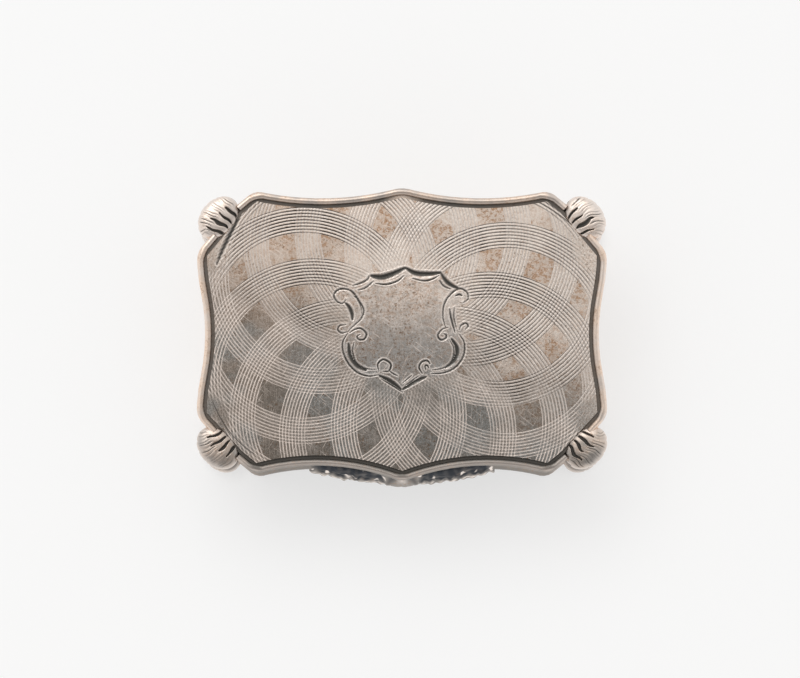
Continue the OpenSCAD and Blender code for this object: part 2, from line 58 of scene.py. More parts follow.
# Points closer than this, in metres, are one point
SAME_PLACE = 1e-7
CORNERS = {"front_left": (-1, -1), "front_right": (1, -1), "back_left": (-1, 1), "back_right": (1, 1)}
# In millimetres: where the turned lines fade out near a corner of the lid, two stray arcs there as centre, radius
# and nearest corner, the height of these arcs, and the pitch of the reeding on the sides
FADED_CORNER = (20.4, 8.8)
STRAY_ARCS = (((-9.28, -3.32), 10.66, (-17.5, -9.9)), ((5.56, -2.08), 17.8, (16.9, 11.5)))
ARC_HEIGHT = 11.3
REED_PITCH = 0.42


# Sizes and colours


def length(name, description, millimetres):
    return FloatProperty(
        name=name, description=description, default=millimetres * MM, unit="LENGTH", precision=5
    )


def colour(name, description, red, green, blue):
    return FloatVectorProperty(
        name=name, description=description, default=(red, green, blue), subtype="COLOR",
        size=3, min=0, max=1,
    )


def angle(name, description, degrees):
    return FloatProperty(name=name, description=description, default=math.radians(degrees), subtype="ANGLE")


def shaded(tint, factor):
    return [factor * c for c in tint]


class CaseSizes(PropertyGroup):
    """The case's outline and the section of its borders"""

    corner_width: length("Corner width", "Width of a cut corner", 5.9)
    corner_depth: length("Corner depth", "Depth of a cut corner", 6.7)
    bend_width: length("Bend width", "Width from the end of a bow to the bend", 1.9)
    bend_depth: length("Bend depth", "Depth from the end of a bow to the bend", 1.55)
    back_drop: length("Back drop", "How far the back bows' ends lie in from the back point", 0.35)
    front_drop: length("Front drop", "How far the front bows' ends lie in from the front point", 0.8)
    back_sag: length("Back bow", "How far the back bows are drawn in", 0.95)
    front_sag: length("Front bow", "How far the front bows are drawn in", 1.25)
    waist: length("Waist", "How far the sides are drawn in", 0.85)
    border_height: length("Border height", "Height of a border", 1.7)
    bead: length("Bead", "Width of the bead on a border", 0.68)
    groove: length("Groove", "Width of the groove inside the bead", 0.35)
    overhang: length("Overhang", "How far a border stands out from the wall", 1.3)
    wall: length("Wall", "Thickness of the walls", 0.7)
    groove_depth: length("Groove depth", "Depth of the groove below the panel's margin", 0.2)
    worn: length("Worn corners", "Width of the rounding at a border's corners", 0.9)
    upright: length("Upright", "Upright part of a border below its bead", 0.34)
    sheet: length("Sheet", "Thickness of the lid's panel", 0.6)
    panel_drop: length("Panel drop", "Depth of the panel's margin below the bead", 0.25)
    crown: length("Crown", "Rise of the panel's middle", 0.4)
    crown_width: length("Crown half width", "Half width of the crown", 20.4)
    crown_depth: length("Crown half depth", "Half depth of the crown", 14.2)


class LeafSizes(PropertyGroup):
    """The leaves at the corners and on the thumbpiece"""

    reach: length("Reach", "How far a corner leaf reaches outwards from its centre", 1.84)
    half_length: length("Half length", "Half length of a corner leaf along the cut corner", 2.45)
    out: length("Out", "Distance of a leaf's centre from the cut corner", 0.6)
    shift: length("Shift", "Distance of a leaf's centre from the bend", 2.1)
    fan: length("Fan", "Distance of the point from which the lobes spread", 5.8)
    spread: angle("Spread", "Half the angle over which the lobes spread", 22)
    rise: length("Rise", "Rise of a leaf's lobed side above its middle", 0.95)
    fall: length("Fall", "Fall of a leaf's plain side below its middle", 0.7)
    lobes: IntProperty(name="Lobes", description="Lobes on a corner leaf", default=5, min=2, max=9)
    hatch: length("Hatch", "Pitch of the fine cuts on a lobe", 0.3)
    thumb_width: length("Thumbpiece width", "Width of the thumbpiece", 19)


class EngravingSizes(PropertyGroup):
    """The engine turning and the cartouche"""

    rings: IntProperty(name="Rings", description="Rings of engine turning", default=12, min=3, max=24)
    ring_radius: length("Ring radius", "Middle radius of each ring of lines", 10.8)
    centre_radius: length("Centre radius", "Distance of the rings' centres from their middle", 10.43)
    middle_x: length("Middle across", "Middle of the rings' centres, across", 0.35)
    middle_y: length("Middle along", "Middle of the rings' centres, along", 0.15)
    first_angle: angle("First angle", "Angle of the first ring", -4.3)
    band: length("Band", "Width of a ring of lines", 2.6)
    pitch: length("Pitch", "Distance between neighbouring lines", 0.325)
    cut_depth: length("Cut depth", "Depth of the cartouche's widest cuts", 0.1)


class Finishes(PropertyGroup):
    """Colours of the metals, the sponge and the floor"""

    silver: colour("Silver", "Clean silver", 0.86, 0.75, 0.675)
    panel_silver: colour("Panel silver", "Silver of the lid's panel", 0.835, 0.755, 0.685)
    # Also the colour of painted highlights on burrs, edges, leaf rims and the thumbpiece
    pale_silver: colour("Pale silver", "Silver rubbed clean on edges and leaves", 0.88, 0.795, 0.735)
    # Also the painted shade of the panel's lower half and of the fronts of borders and leaves
    dull_shaded_silver: colour("Dull silver", "Silver dulled by handling", 0.285, 0.262, 0.24)
    tarnish: colour("Tarnish", "Warm brown tarnish", 0.39, 0.225, 0.125)
    grime: colour("Grime", "Grey-brown grime", 0.14, 0.12, 0.10)
    blush: colour("Blush", "Reddish blush on worn edges", 0.95, 0.70, 0.52)
    # Used both as oxide in the engraved cuts and leaf clefts and as painted shade in the grooves, the reeding, the
    # panel's edge and on the beads' inner slopes
    shadow: colour("Oxide", "Dark oxide in the cuts", 0.07, 0.066, 0.06)
    # Painted shade and dark reflection in the thumbpiece's hollows under the border
    painted_hollow_shade: colour("Slate", "Dark polish of the thumbpiece's hollows", 0.055, 0.06, 0.07)
    field_grey: colour("Field grey", "Grey lower part of the cartouche", 0.32, 0.325, 0.325)
    cool_grey: colour("Cool grey", "Cool patches of dulled silver", 0.27, 0.295, 0.3)
    gilt: colour("Gilt", "Gilding inside the case", 0.83, 0.58, 0.24)
    sponge: colour("Sponge", "Dry natural sponge", 0.66, 0.47, 0.24)
    floor: colour("Floor", "Pale floor", 0.965, 0.965, 0.96)


class StageSizes(PropertyGroup):
    """The camera's place"""

    view_width: length("View width", "Width of the view at the lid", 81.8)
    aim_x: length("Aim across", "Where the camera points, across", -0.2)
    aim_y: length("Aim along", "Where the camera points, along", -0.5)
    tilt: angle("Tilt", "How far the camera leans to the front", 3.4)
    lens: FloatProperty(name="Lens", description="Focal length", default=240, unit="CAMERA")


# Shader expressions


def joined_by(operation):
    """A method that takes a second value and joins the two by a Math node"""
    return lambda self, other: self.math(operation, self, other)


class Shade:
    """A node's output. Sums on it add Math nodes, and node() adds any other node"""

    def __init__(self, tree, socket=None):
        self.tree = tree
        self.socket = socket

    def node(self, kind, settings=None, inputs=None, output=0):
        made = self.tree.nodes.new(kind)
        for name, value in (settings or {}).items():
            setattr(made, name, value)
        for name, value in (inputs or {}).items():
            if isinstance(value, Shade):
                self.tree.links.new(value.socket, made.inputs[name])
            else:
                made.inputs[name].default_value = value
        return Shade(self.tree, made.outputs[output])

    def math(self, operation, *values):
        return self.node("ShaderNodeMath", {"operation": operation}, dict(enumerate(values)))

    def __rsub__(self, other):
        return self.math("SUBTRACT", other, self)

    def __abs__(self):
        return self.math("ABSOLUTE", self)

    __add__ = __radd__ = joined_by("ADD")
    __sub__ = joined_by("SUBTRACT")
    __mul__ = __rmul__ = joined_by("MULTIPLY")
    __truediv__ = joined_by("DIVIDE")
    __pow__ = joined_by("POWER")
    most = joined_by("MAXIMUM")
    least = joined_by("MINIMUM")

    def cosine(self):
        return self.math("COSINE", self)

    def rise(self, low, high):
        """0 below low and 1 above high, with a smooth step between them"""
        return self.node(
            "ShaderNodeMapRange", {"interpolation_type": "SMOOTHSTEP"},
            {"Value": self, "From Min": low, "From Max": high},
        )

    def between(self, first, second):
        """A colour between two others, by this value"""
        pair = [c if isinstance(c, Shade) else (*c, 1) for c in (first, second)]
        return self.node(
            "ShaderNodeMix", {"data_type": "RGBA"}, {0: self, 6: pair[0], 7: pair[1]}, 2
        )

    def vector(self, operation, value, output=0):
        return self.node("ShaderNodeVectorMath", {"operation": operation}, {0: self, 1: value}, output)

    def scaled(self, x, y, z):
        return self.vector("MULTIPLY", (x, y, z))

    def turned(self, bearing):
        return self.node("ShaderNodeVectorRotate", {"rotation_type": "Z_AXIS"}, {"Vector": self, "Angle": bearing})

    def distance(self, point):
        return self.vector("DISTANCE", point, "Value")

    def along(self, direction):
        return self.vector("DOT_PRODUCT", direction, "Value")

    def cloud(self, scale, detail=2, roughness=0.5):
        """Noise from 0 to 1 over this place"""
        return self.node(
            "ShaderNodeTexNoise", {},
            {"Vector": self, "Scale": scale, "Detail": detail, "Roughness": roughness},
        )


class Surface:
    """A new material, the place on its surface in millimetres and its shader"""

    def __init__(self, name, metallic=1.0):
        self.material = bpy.data.materials.new(name)
        self.material.use_nodes = True
        self.tree = self.material.node_tree
        self.shader = self.tree.nodes["Principled BSDF"]
        self.shader.inputs["Metallic"].default_value = metallic
        self.start = Shade(self.tree)
        spot = self.start.node("ShaderNodeTexCoord", output="Object")
        self.place = spot.scaled(1 / MM, 1 / MM, 1 / MM)

    def attribute(self, name):
        return self.start.node("ShaderNodeAttribute", {"attribute_name": name}, output="Fac")

    def feed(self, looks, roughness, height, depth):
        """Link the finish to the shader. height is from 0 to 1, depth is in metres"""
        self.tree.links.new(looks.socket, self.shader.inputs["Base Color"])
        self.tree.links.new(roughness.socket, self.shader.inputs["Roughness"])
        bump = self.start.node(
            "ShaderNodeBump", {}, {"Strength": 1.0, "Distance": depth, "Height": height}
        )
        self.tree.links.new(bump.socket, self.shader.inputs["Normal"])
        return self.material


def turned_lines(surface, engraving, thin, full):
    """Engine turning: lines that lie across the light, lines that run with it, the walls of the cuts that face
    the light, and whether a ring is there"""
    flat = surface.place.scaled(1, 1, 0)
    half = engraving.band / MM / 2
    crossing = running = lit_walls = covered = 0
    for index in range(engraving.rings):
        bearing = engraving.first_angle + math.tau * index / engraving.rings
        reach = engraving.centre_radius / MM
        centre = (
            engraving.middle_x / MM + reach * math.cos(bearing),
            engraving.middle_y / MM + reach * math.sin(bearing), 0,
        )
        away = flat.distance(centre)
        off = away - engraving.ring_radius / MM
        inside = 1 - abs(off).rise(half, half + 0.05)
        turn = off * (math.tau / (engraving.pitch / MM))
        line = inside * (turn.cosine() * 0.5 + 0.5).rise(thin, full)
        slope = (flat.along((0, 1, 0)) - centre[1]) / away
        crossing = line * slope ** 2 + crossing
        running = line * (1 - slope ** 2) + running
        lit_walls = inside * ((turn + slope * 2.4).cosine() * 0.5 + 0.5).rise(0.4, 1) + lit_walls
        covered = inside + covered
    shared = covered.most(1) ** -0.5
    return crossing * shared, running * shared, lit_walls * shared, covered.least(1)


def panel_finish(name, finishes, engraving):
    """Engine-turned silver with tarnish in the bare cells and painted light and shade, dark cuts and painted
    highlights where the mesh says so
    """
    surface = Surface(name)
    place = surface.place
    field, cut, painted_highlight = (surface.attribute(n) for n in ("field", "cut", "painted_highlight"))
    # Painted light with real dullness: the upper half is painted lighter and cleaner, the lower half darker and
    # greyer, as a room bright behind and dim in front lights the lid; the stains, cool patches and lines follow
    # this
    lit_clean_upper = (place.along((0.3, 0.95, 0)) + place.cloud(0.16, 3) * 9 - 4.5).rise(-8, 6)
    crossing, running, lit_walls, covered = turned_lines(surface, engraving, 0.5 - lit_clean_upper * 0.1, 1 - lit_clean_upper * 0.1)
    across, along = abs(place.along((1, 0, 0))), abs(place.along((0, 1, 0)))
    from_corner = ((across - FADED_CORNER[0]) ** 2 + (along - FADED_CORNER[1]) ** 2) ** 0.5
    worn = place.cloud(0.3, 3).rise(0.25, 0.6) * 0.4 + place.distance((0, 0, 11)).rise(5, 10) * 0.6
    worn = (1 - field) * worn * (from_corner.rise(2.2, 3.2) * 0.85 + 0.15)
    bare = 1 - covered * (1 - field)
    warm = (place.along((-0.9, 0.3, 0)) + place.cloud(0.12, 2) * 14 - 7).rise(0, 14)
    plain = lit_clean_upper.between(finishes.dull_shaded_silver, finishes.panel_silver)
    plain = (warm * 0.22 + (bare - field) * lit_clean_upper * 0.08).between(plain, finishes.tarnish)
    plain = (field * 0.5).between(plain, finishes.pale_silver)
    stain = lit_clean_upper.between(finishes.grime, finishes.tarnish)
    patches = place.cloud(0.38, 3, 0.6).rise(0.38, 0.54)
    mottle = place.cloud(1.1, 5, 0.7).rise(0.4, 0.62)
    specks = place.cloud(2.6, 5, 0.8).rise(0.48, 0.55)
    grain = place.cloud(5, 3, 0.7).rise(0.38, 0.6)
    dots = place.cloud(4.4, 3, 0.7).rise(0.565, 0.635) * place.cloud(0.3, 2).rise(0.36, 0.58)
    dim = 1 - place.along((0, 1, 0)).rise(-3, 5)
    looks = (field * dim * 0.75).between(plain, finishes.field_grey)
    looks = (patches * (bare * 0.3 - field * 0.28 + 0.07) * (0.85 - lit_clean_upper * 0.25)).between(looks, stain)
    looks = (mottle * field * 0.3).between(looks, finishes.grime)
    looks = (specks * (patches * 0.65 + 0.25) * (bare * 0.7 - field * 0.4 + 0.3)).between(looks, stain)
    cool = place.cloud(0.2, 3).rise(0.46, 0.6) * (0.5 - lit_clean_upper * 0.4)
    looks = cool.between(looks, finishes.cool_grey)
    looks = (grain * (0.5 - lit_clean_upper * 0.25 - field * 0.08)).between(looks, stain)
    looks = ((1 - grain) * 0.06).between(looks, finishes.pale_silver)
    looks = (dots * 0.75).between(looks, shaded(finishes.tarnish, 0.4))
    scratches = place.scaled(16, 0.7, 1).cloud(1, 2)
    looks = (scratches.rise(0.55, 0.7) * 0.2).between(looks, finishes.silver)
    for bearing in (0.5, -0.9, 2.2):
        marks = place.turned(bearing).scaled(7, 0.35, 1).cloud(1, 1).rise(0.69, 0.74)
        looks = (marks * 0.4).between(looks, finishes.silver)
    # Painted light on the engine turning: in the upper half the lines are painted dark as shaded grooves, in the
    # lower half they are painted light as reflections, and the walls of the cuts that face the light get a painted
    # highlight
    flip = lit_clean_upper.rise(0.2, 0.5)
    pale = running * (0.85 - lit_clean_upper * 0.45) + crossing * (0.72 - flip * 0.72)
    looks = (pale * worn).between(looks, finishes.silver)
    looks = (lit_walls * worn * (lit_clean_upper * 0.6 + 0.1)).between(looks, shaded(finishes.pale_silver, 1.1))
    dark = crossing * (flip * 0.9 + 0.1) + running * lit_clean_upper * 0.3
    looks = (dark * worn).between(looks, shaded(finishes.silver, 0.03))
    for middle, radius, corner in STRAY_ARCS:
        stray = 1 - abs(place.distance((*middle, ARC_HEIGHT)) - radius).rise(0.02, 0.08)
        stray = stray * (1 - place.distance((*corner, ARC_HEIGHT)).rise(3, 3.8))
        looks = (stray * 0.85).between(looks, shaded(finishes.silver, 0.1))
    cuts = (crossing + running) * worn
    # Painted highlights on the burrs beside the cuts and on the panel's edge
    looks = (painted_highlight * 0.8).between(looks, finishes.pale_silver)
    # Dark in the cartouche's cuts, and painted shade on the sheet's edge
    looks = cut.between(looks, finishes.shadow)
    roughness = 0.3 + cuts * 0.15 + specks * 0.15 + scratches * 0.1
    height = cuts * -1 + scratches * 0.15 + specks * -0.25
    return surface.feed(looks, roughness, height, 0.018 * MM)


def silver_finish(name, finishes, bright, dullness_and_shade, blush, deep, reeded=False):
    """Worn silver, painted lighter at the sides and back and darker in front, mottled by dullness, with oxide,
    painted shade and painted highlights where the mesh says
    """
    surface = Surface(name)
    place = surface.place
    cut = surface.attribute("cut")
    clouds = place.cloud(0.35, 4, 0.65)
    # Painted light with real dullness in clouds: the sides and back are painted brighter and the front darker, as a
    # room bright behind and dim in front lights them
    sides = abs(place.along((1, 0, 0))).rise(14, 20)
    back = place.along((0, 1, 0)).rise(-9, 12)
    clean = sides * 0.75 + back * 0.45 + clouds * 0.9 - dullness_and_shade
    plain = clean.rise(0, 1).between(finishes.dull_shaded_silver, bright)
    looks = (sides.most(back * 0.7) * clouds.rise(0.35, 0.6) * blush).between(plain, finishes.blush)
    specks = place.cloud(3.5, 4, 0.75).rise(0.5, 0.64)
    looks = (specks * clouds.rise(0.4, 0.65) * 0.6).between(looks, finishes.tarnish)
    # Painted highlights where the mesh asks for them
    looks = surface.attribute("painted_highlight").between(looks, bright)
    # Dark where the mesh says: oxide in cuts, and painted shade in grooves, on the beads' inner slopes and in the
    # thumbpiece's hollows
    looks = cut.between(looks, deep)
    scratches = place.scaled(2, 2, 7).cloud(1.3, 2)
    roughness = 0.3 + clouds * 0.16 + cut * 0.2
    height = scratches * 0.3 + clouds * 0.2
    if reeded:
        # The reeding's grooves are painted dark: painted shade
        lines = place.along((0, 0, math.tau / REED_PITCH)).cosine() * 0.5 + 0.5
        height = height + lines
        looks = (lines ** 6 * 0.45).between(looks, finishes.shadow)
    return surface.feed(looks, roughness, height, 0.02 * MM)


def gilt_finish(name, finishes, worn):
    """Gilding that is rubbed through to paler silver in places"""
    surface = Surface(name)
    place = surface.place
    clouds = place.cloud(0.4, 4, 0.6)
    rubbed = clouds.rise(0.52, 0.75) * worn
    looks = rubbed.between(finishes.gilt, finishes.silver)
    specks = place.cloud(3.1, 3, 0.7).rise(0.6, 0.72)
    looks = (specks * 0.5).between(looks, finishes.tarnish)
    brushed = place.scaled(1.2, 9, 4).cloud(1, 3)
    roughness = 0.25 + clouds * 0.2 + specks * 0.2
    return surface.feed(looks, roughness, brushed * 0.6 + clouds * 0.4, 0.02 * MM)


def sponge_finish(name, finishes):
    """Dry sponge with open pores, painted darker in them as painted shade"""
    surface = Surface(name, metallic=0.0)
    place = surface.place
    pores = place.node("ShaderNodeTexVoronoi", {}, {"Vector": place, "Scale": 1.7}, "Distance")
    fibres = place.cloud(5, 4, 0.7)
    # The pores are painted darker: painted shade in the pores
    pit = 1 - pores.rise(0.12, 0.42)
    looks = fibres.rise(0.3, 0.7).between(shaded(finishes.sponge, 0.72), finishes.sponge)
    looks = (pit * 0.7).between(looks, shaded(finishes.sponge, 0.3))
    roughness = 0.85 + fibres * 0.12
    return surface.feed(looks, roughness, fibres * 0.5 + pores, 0.25 * MM)


def floor_finish(name, finishes):
    """Pale paper that a camera or a mirror sees mostly as lit from behind, so that its shadows stay light"""
    surface = Surface(name, metallic=0.0)
    grain = surface.place.cloud(0.05, 3)
    looks = grain.between(finishes.floor, shaded(finishes.floor, 0.985))
    surface.feed(looks, 0.75 + grain * 0.1, grain, 0.01 * MM)
    rays = [
        surface.start.node("ShaderNodeLightPath", output=f"Is {kind} Ray")
        for kind in ("Camera", "Glossy", "Transmission")
    ]
    seen = (rays[0] + rays[1] + rays[2]) * 0.58
    glow = surface.start.node("ShaderNodeEmission", {}, {"Color": (0.99, 0.99, 0.99, 1), "Strength": 1.0})
    lit = Shade(surface.tree, surface.shader.outputs["BSDF"])
    both = surface.start.node("ShaderNodeMixShader", {}, {0: seen, 1: lit, 2: glow})
    surface.tree.links.new(both.socket, surface.tree.nodes["Material Output"].inputs["Surface"])
    return surface.material


def studio_sky(scene):
    """White light from low down, and higher up light that is dim in front and bright at the back"""
    world = bpy.data.worlds.new("studio")
    scene.world = world
    world.use_nodes = True
    tree = world.node_tree
    sky = Shade(tree).node("ShaderNodeTexCoord", output="Generated")
    up = sky.along((0, 0, 1))
    hood = sky.along((0.1, 1, 0)).rise(-0.14, 0.24).between((0.30, 0.29, 0.28), (0.98, 0.97, 0.95))
    around = sky.along((-0.15, 1, 0)).rise(-0.5, 0.2).between((0.42, 0.42, 0.43), (1.05, 1.04, 1.02))
    around = up.rise(0.5, 0.75).between((0.98, 0.98, 0.98), around)
    looks = up.rise(0.86, 0.97).between(around, hood)
    backdrop = tree.nodes["Background"]
    tree.links.new(looks.socket, backdrop.inputs["Color"])
    backdrop.inputs["Strength"].default_value = 0.92


FINISH = {}


# Meshes


def clamped(value):
    return min(1, max(0, value))


def hump(value, middle, width):
    """1 at the middle, and 0 from width away on"""
    return max(0, 1 - abs(value - middle) / width)


def only(kind, made):
    """The vertices, edges or faces among the elements that a step made"""
    return [g for g in made if isinstance(g, kind)]


def vert_layers(bm, *names):
    return [bm.verts.layers.float.new(name) for name in names]


def merge_points(bm):
    bmesh.ops.remove_doubles(bm, verts=bm.verts[:], dist=SAME_PLACE)


def carried_to(bm, vert, end, sag, steps):
    """Carry a line on from a vertex to a point, bowed to its left by sag. Returns its last vertex"""
    start = vert.co.copy()
    chord = end - start
    if not sag:
        for _ in range(steps):
            new = bmesh.ops.extrude_vert_indiv(bm, verts=[vert])["verts"]
            bmesh.ops.translate(bm, verts=new, vec=chord / steps)
            vert = new[0]
        return vert
    half = chord.length / 2
    radius = (half ** 2 + sag ** 2) / (2 * abs(sag))
    side = math.copysign(1, sag)
    left = Vector((-chord.y, chord.x, 0)).normalized() * side
    turned = bmesh.ops.spin(
        bm, geom=[vert], cent=(start + end) / 2 + left * (abs(sag) - radius), axis=(0, 0, 1),
        angle=-2 * side * math.asin(half / radius), steps=steps, use_merge=False,
    )
    return only(BMVert, turned["geom_last"])[0]


def case_corners(case, front):
    """Where a bow, its bend and the side end, in the right half's front or back corner"""
    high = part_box("lid_moulding")[1]
    drop = case.front_drop if front else case.back_drop
    shoulder = Vector((high.x - case.corner_width, high.y - drop, 0))
    bend = shoulder + Vector((case.bend_width, -case.bend_depth, 0))
    side = Vector((high.x, high.y - case.corner_depth, 0))
    flip = Matrix.Diagonal((1, -1 if front else 1, 1))
    return [flip @ corner for corner in (shoulder, bend, side)]


def case_plan(bm, case, level):
    """The case's outline as one face that looks up: its right half, mirrored to the left"""
    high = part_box("lid_moulding")[1]
    front_shoulder, front_bend, front_side = case_corners(case, True)
    shoulder, bend, side = case_corners(case, False)
    waist = Vector((high.x - case.waist, 0, 0))
    front_turn, turn = (front_side + waist) / 2, (side + waist) / 2
    radius = (side - waist).length_squared / (4 * case.waist)
    swell = radius - math.sqrt(radius ** 2 - (side - turn).length_squared / 4)
    vert = bm.verts.new((0, -high.y, 0))
    for end, sag, steps in (
        (front_shoulder, case.front_sag, 12), (front_bend, 0, 1), (front_side, 0, 5),
        (front_turn, -swell, 3), (waist, swell, 3), (turn, swell, 3), (side, -swell, 3),
        (bend, 0, 5), (shoulder, 0, 1), (Vector((0, high.y, 0)), case.back_sag, 12),
    ):
        vert = carried_to(bm, vert, end, sag, steps)
    bmesh.ops.mirror(bm, geom=bm.verts[:] + bm.edges[:], matrix=Matrix(), merge_dist=SAME_PLACE, axis="X")
    face = bmesh.ops.contextual_create(bm, geom=bm.edges[:])["faces"][0]
    face.normal_update()
    if face.normal.z < 0:
        face.normal_flip()
    bmesh.ops.translate(bm, verts=face.verts[:], vec=(0, 0, level))
    return face


def step_in(bm, face, inward, rise):
    """Draw a face in and lift it, which leaves a ring of faces round it"""
    bmesh.ops.inset_region(
        bm, faces=[face], use_boundary=True, use_even_offset=True, thickness=inward, depth=rise
    )


def cad_copy(node):
    """A CAD node's mesh with its loose triangles joined"""
    bm = bmesh.new()
    bm.from_mesh(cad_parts[node].data)
    merge_points(bm)
    return bm


def placed(name, data):
    """A new object in the scene"""
    made = bpy.data.objects.new(name, data)
    bpy.context.scene.collection.objects.link(made)
    return made


def placed_mesh(bm, name, finishes):
    """A new object in the scene with a mesh and its finishes"""
    mesh = bpy.data.meshes.new(name)
    bm.to_mesh(mesh)
    bm.free()
    for finish in finishes:
        mesh.materials.append(FINISH[finish])
    return placed(name, mesh)


def finish_piece(bm, name, body, finishes, stands_for=(), sharp=38):
    """Turn a mesh into a piece that rides on a body, with edges sharper than an angle kept crisp"""
    for face in bm.faces:
        face.smooth = True
    for edge in bm.edges:
        edge.smooth = edge.calc_face_angle(0) < math.radians(sharp)
    piece = placed_mesh(bm, name, finishes)
    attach(piece, body)
    if stands_for:
        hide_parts(*stands_for)
    return piece


def leaf_frame(leaves, case, sign_x, sign_y):
    """A corner leaf's directions outwards and along the cut corner, and its centre"""
    bend, side = case_corners(case, sign_y < 0)[1:]
    along = (bend - side).normalized()
    outward = Vector((along.y, -along.x, 0)) * sign_y
    centre = bend - along * leaves.shift + outward * leaves.out
    flip = Matrix.Diagonal((sign_x, 1, 1))
    return flip @ outward, flip @ along, flip @ centre


# How much wider the cuts are than listed
CUT_WEIGHT = 1.7
# Distance between points along a cut
CUT_SPACING = 0.025 * MM
# Distance of a cut's raised burr from its edge, and the burr's half width; the burr also gets a painted highlight
BURR_OUT, BURR_HALF = 0.06 * MM, 0.09 * MM
# Cuts of the cartouche and of one corner's stem, in millimetres from the lid's middle: the widest half width,
# then points
CUTS = (
    (0.07, (-5.08, 4.94), (-4.22, 5.22), (-3.55, 5.57), (-3.34, 5.98)),
    (0.23, (-3.2, 5.98), (-2.16, 5.82), (-1.04, 6.12), (0.35, 6.79)),
    (0.2, (0.38, 6.79), (1.33, 6.26), (2.58, 6.15), (3.98, 6.3)),
    (0.17, (3.98, 6.26), (4.46, 5.5), (5.09, 4.98), (5.72, 4.73)),
    (0.06, (-4.52, 4.48), (-3.69, 4.76), (-2.88, 5.43)),
    (0.07, (-2.71, 5.18), (-1.6, 5.09), (-0.48, 5.43), (0.21, 5.98)),
    (0.07, (1.05, 5.7), (2.17, 5.47), (3.0, 5.59), (3.77, 5.98)),
    (0.07, (3.81, 5.54), (4.26, 4.94), (5.02, 4.59)),
    (0.07, (-5.71, 3.61), (-5.99, 3.17), (-6.55, 3.27), (-6.96, 3.89), (-6.61, 4.48), (-5.92, 4.63),
     (-5.08, 4.31), (-4.39, 3.41), (-3.9, 2.43), (-4.18, 1.59), (-4.87, 0.9), (-5.5, 0.27)),
    (0.04, (-5.64, 4.52), (-4.73, 3.75), (-4.22, 2.85), (-4.11, 2.08)),
    (0.15, (-5.78, 3.2), (-5.36, 2.71), (-5.11, 2.08), (-5.08, 1.45)),
    (0.07, (6.28, 3.2), (6.76, 3.61), (6.62, 4.31), (5.86, 4.65), (4.95, 4.03), (4.33, 3.06),
     (4.19, 1.8), (4.46, 0.69)),
    (0.08, (4.88, 2.57), (5.02, 1.66), (5.44, 0.13)),
    (0.05, (5.37, 2.78), (5.3, 1.8), (5.58, 0.55)),
    (0.08, (5.44, 3.89), (5.86, 4.07), (6.14, 3.89)),
    (0.06, (-5.71, 0.94), (-6.34, 0.86), (-6.55, 0.44), (-6.13, 0.09), (-5.57, 0.24)),
    (0.07, (5.86, 0.44), (6.07, 0.9), (6.55, 1.11), (6.76, 0.8), (6.48, 0.48)),
    (0.07, (-5.36, 0.1), (-4.87, 0.44), (-4.22, 0.58), (-3.65, 0.06), (-3.83, -0.5), (-4.36, -0.57),
     (-4.59, -0.26), (-4.27, -0.04)),
    (0.07, (4.74, 0.69), (4.12, 0.48), (3.67, -0.15), (3.98, -0.59), (4.46, -0.43), (4.53, -0.08),
     (4.26, 0.02)),
    (0.07, (-5.57, 0.06), (-6.06, -0.85), (-5.99, -1.89), (-5.43, -3.07), (-4.52, -3.94),
     (-3.41, -4.3), (-2.36, -4.19)),
    (0.05, (-4.91, -0.85), (-5.04, -1.68), (-4.69, -2.87), (-3.69, -3.52), (-2.6, -3.63)),
    (0.18, (-5.47, -0.98), (-5.25, -2.17), (-4.59, -3.19), (-3.69, -3.7)),
    (0.07, (5.86, -0.01), (6.37, -0.91), (6.28, -2.24), (5.51, -3.35), (4.39, -3.94), (3.0, -4.08)),
    (0.05, (4.88, -0.57), (5.3, -1.54), (5.09, -2.73), (4.26, -3.46), (3.07, -3.7)),
    (0.19, (5.09, -0.5), (5.62, -1.54), (5.3, -2.66), (4.46, -3.42)),
    (0.07, (-2.36, -3.84), (-2.46, -3.07), (-1.88, -2.61), (-1.15, -3.07), (-1.32, -3.77), (-1.95, -3.84)),
    (0.05, (-1.32, -3.77), (-0.84, -4.08), (-0.41, -4.3)),
    (0.07, (2.1, -4.08), (1.75, -3.42), (2.03, -2.87), (2.58, -2.73), (2.89, -3.07)),
    (0.06, (2.44, -3.7), (2.37, -3.28), (2.58, -3.21), (2.75, -3.49)),
    (0.19, (-2.29, -4.26), (-1.18, -4.89), (-0.13, -5.65)),
    (0.05, (-2.16, -4.58), (-0.9, -5.33), (0.07, -5.97)),
    (0.16, (2.47, -4.37), (1.26, -4.89), (0.1, -5.65)),
    (0.04, (0.07, -5.03), (1.05, -4.19)),
    (0.04, (0.35, -5.24), (1.75, -4.26)),
    (0.15, (-16.5, 12.3), (-17.35, 10.75), (-18.25, 8.9), (-18.95, 7.2)),
)
# Corners of the bare field inside the cartouche, in millimetres
FIELD = (
    (0.35, 6.9), (2.4, 6.2), (4.0, 6.4), (5.8, 4.8), (6.7, 4.2), (6.5, 3.2), (5.6, 2.9), (5.6, 0.9), (6.6, 1.1),
    (6.0, 0.1), (6.4, -1.4), (5.7, -3.2), (4.4, -4.0), (2.6, -4.4), (0.0, -6.0), (-2.3, -4.3), (-4.5, -4.0),
    (-5.7, -2.8), (-6.1, -1.2), (-5.7, 0.1), (-6.5, 0.4), (-5.6, 0.9), (-5.2, 2.4), (-6.2, 3.2), (-6.9, 3.9),
    (-5.9, 4.6), (-5.1, 5.0), (-3.3, 6.1), (-1.9, 5.8),
)


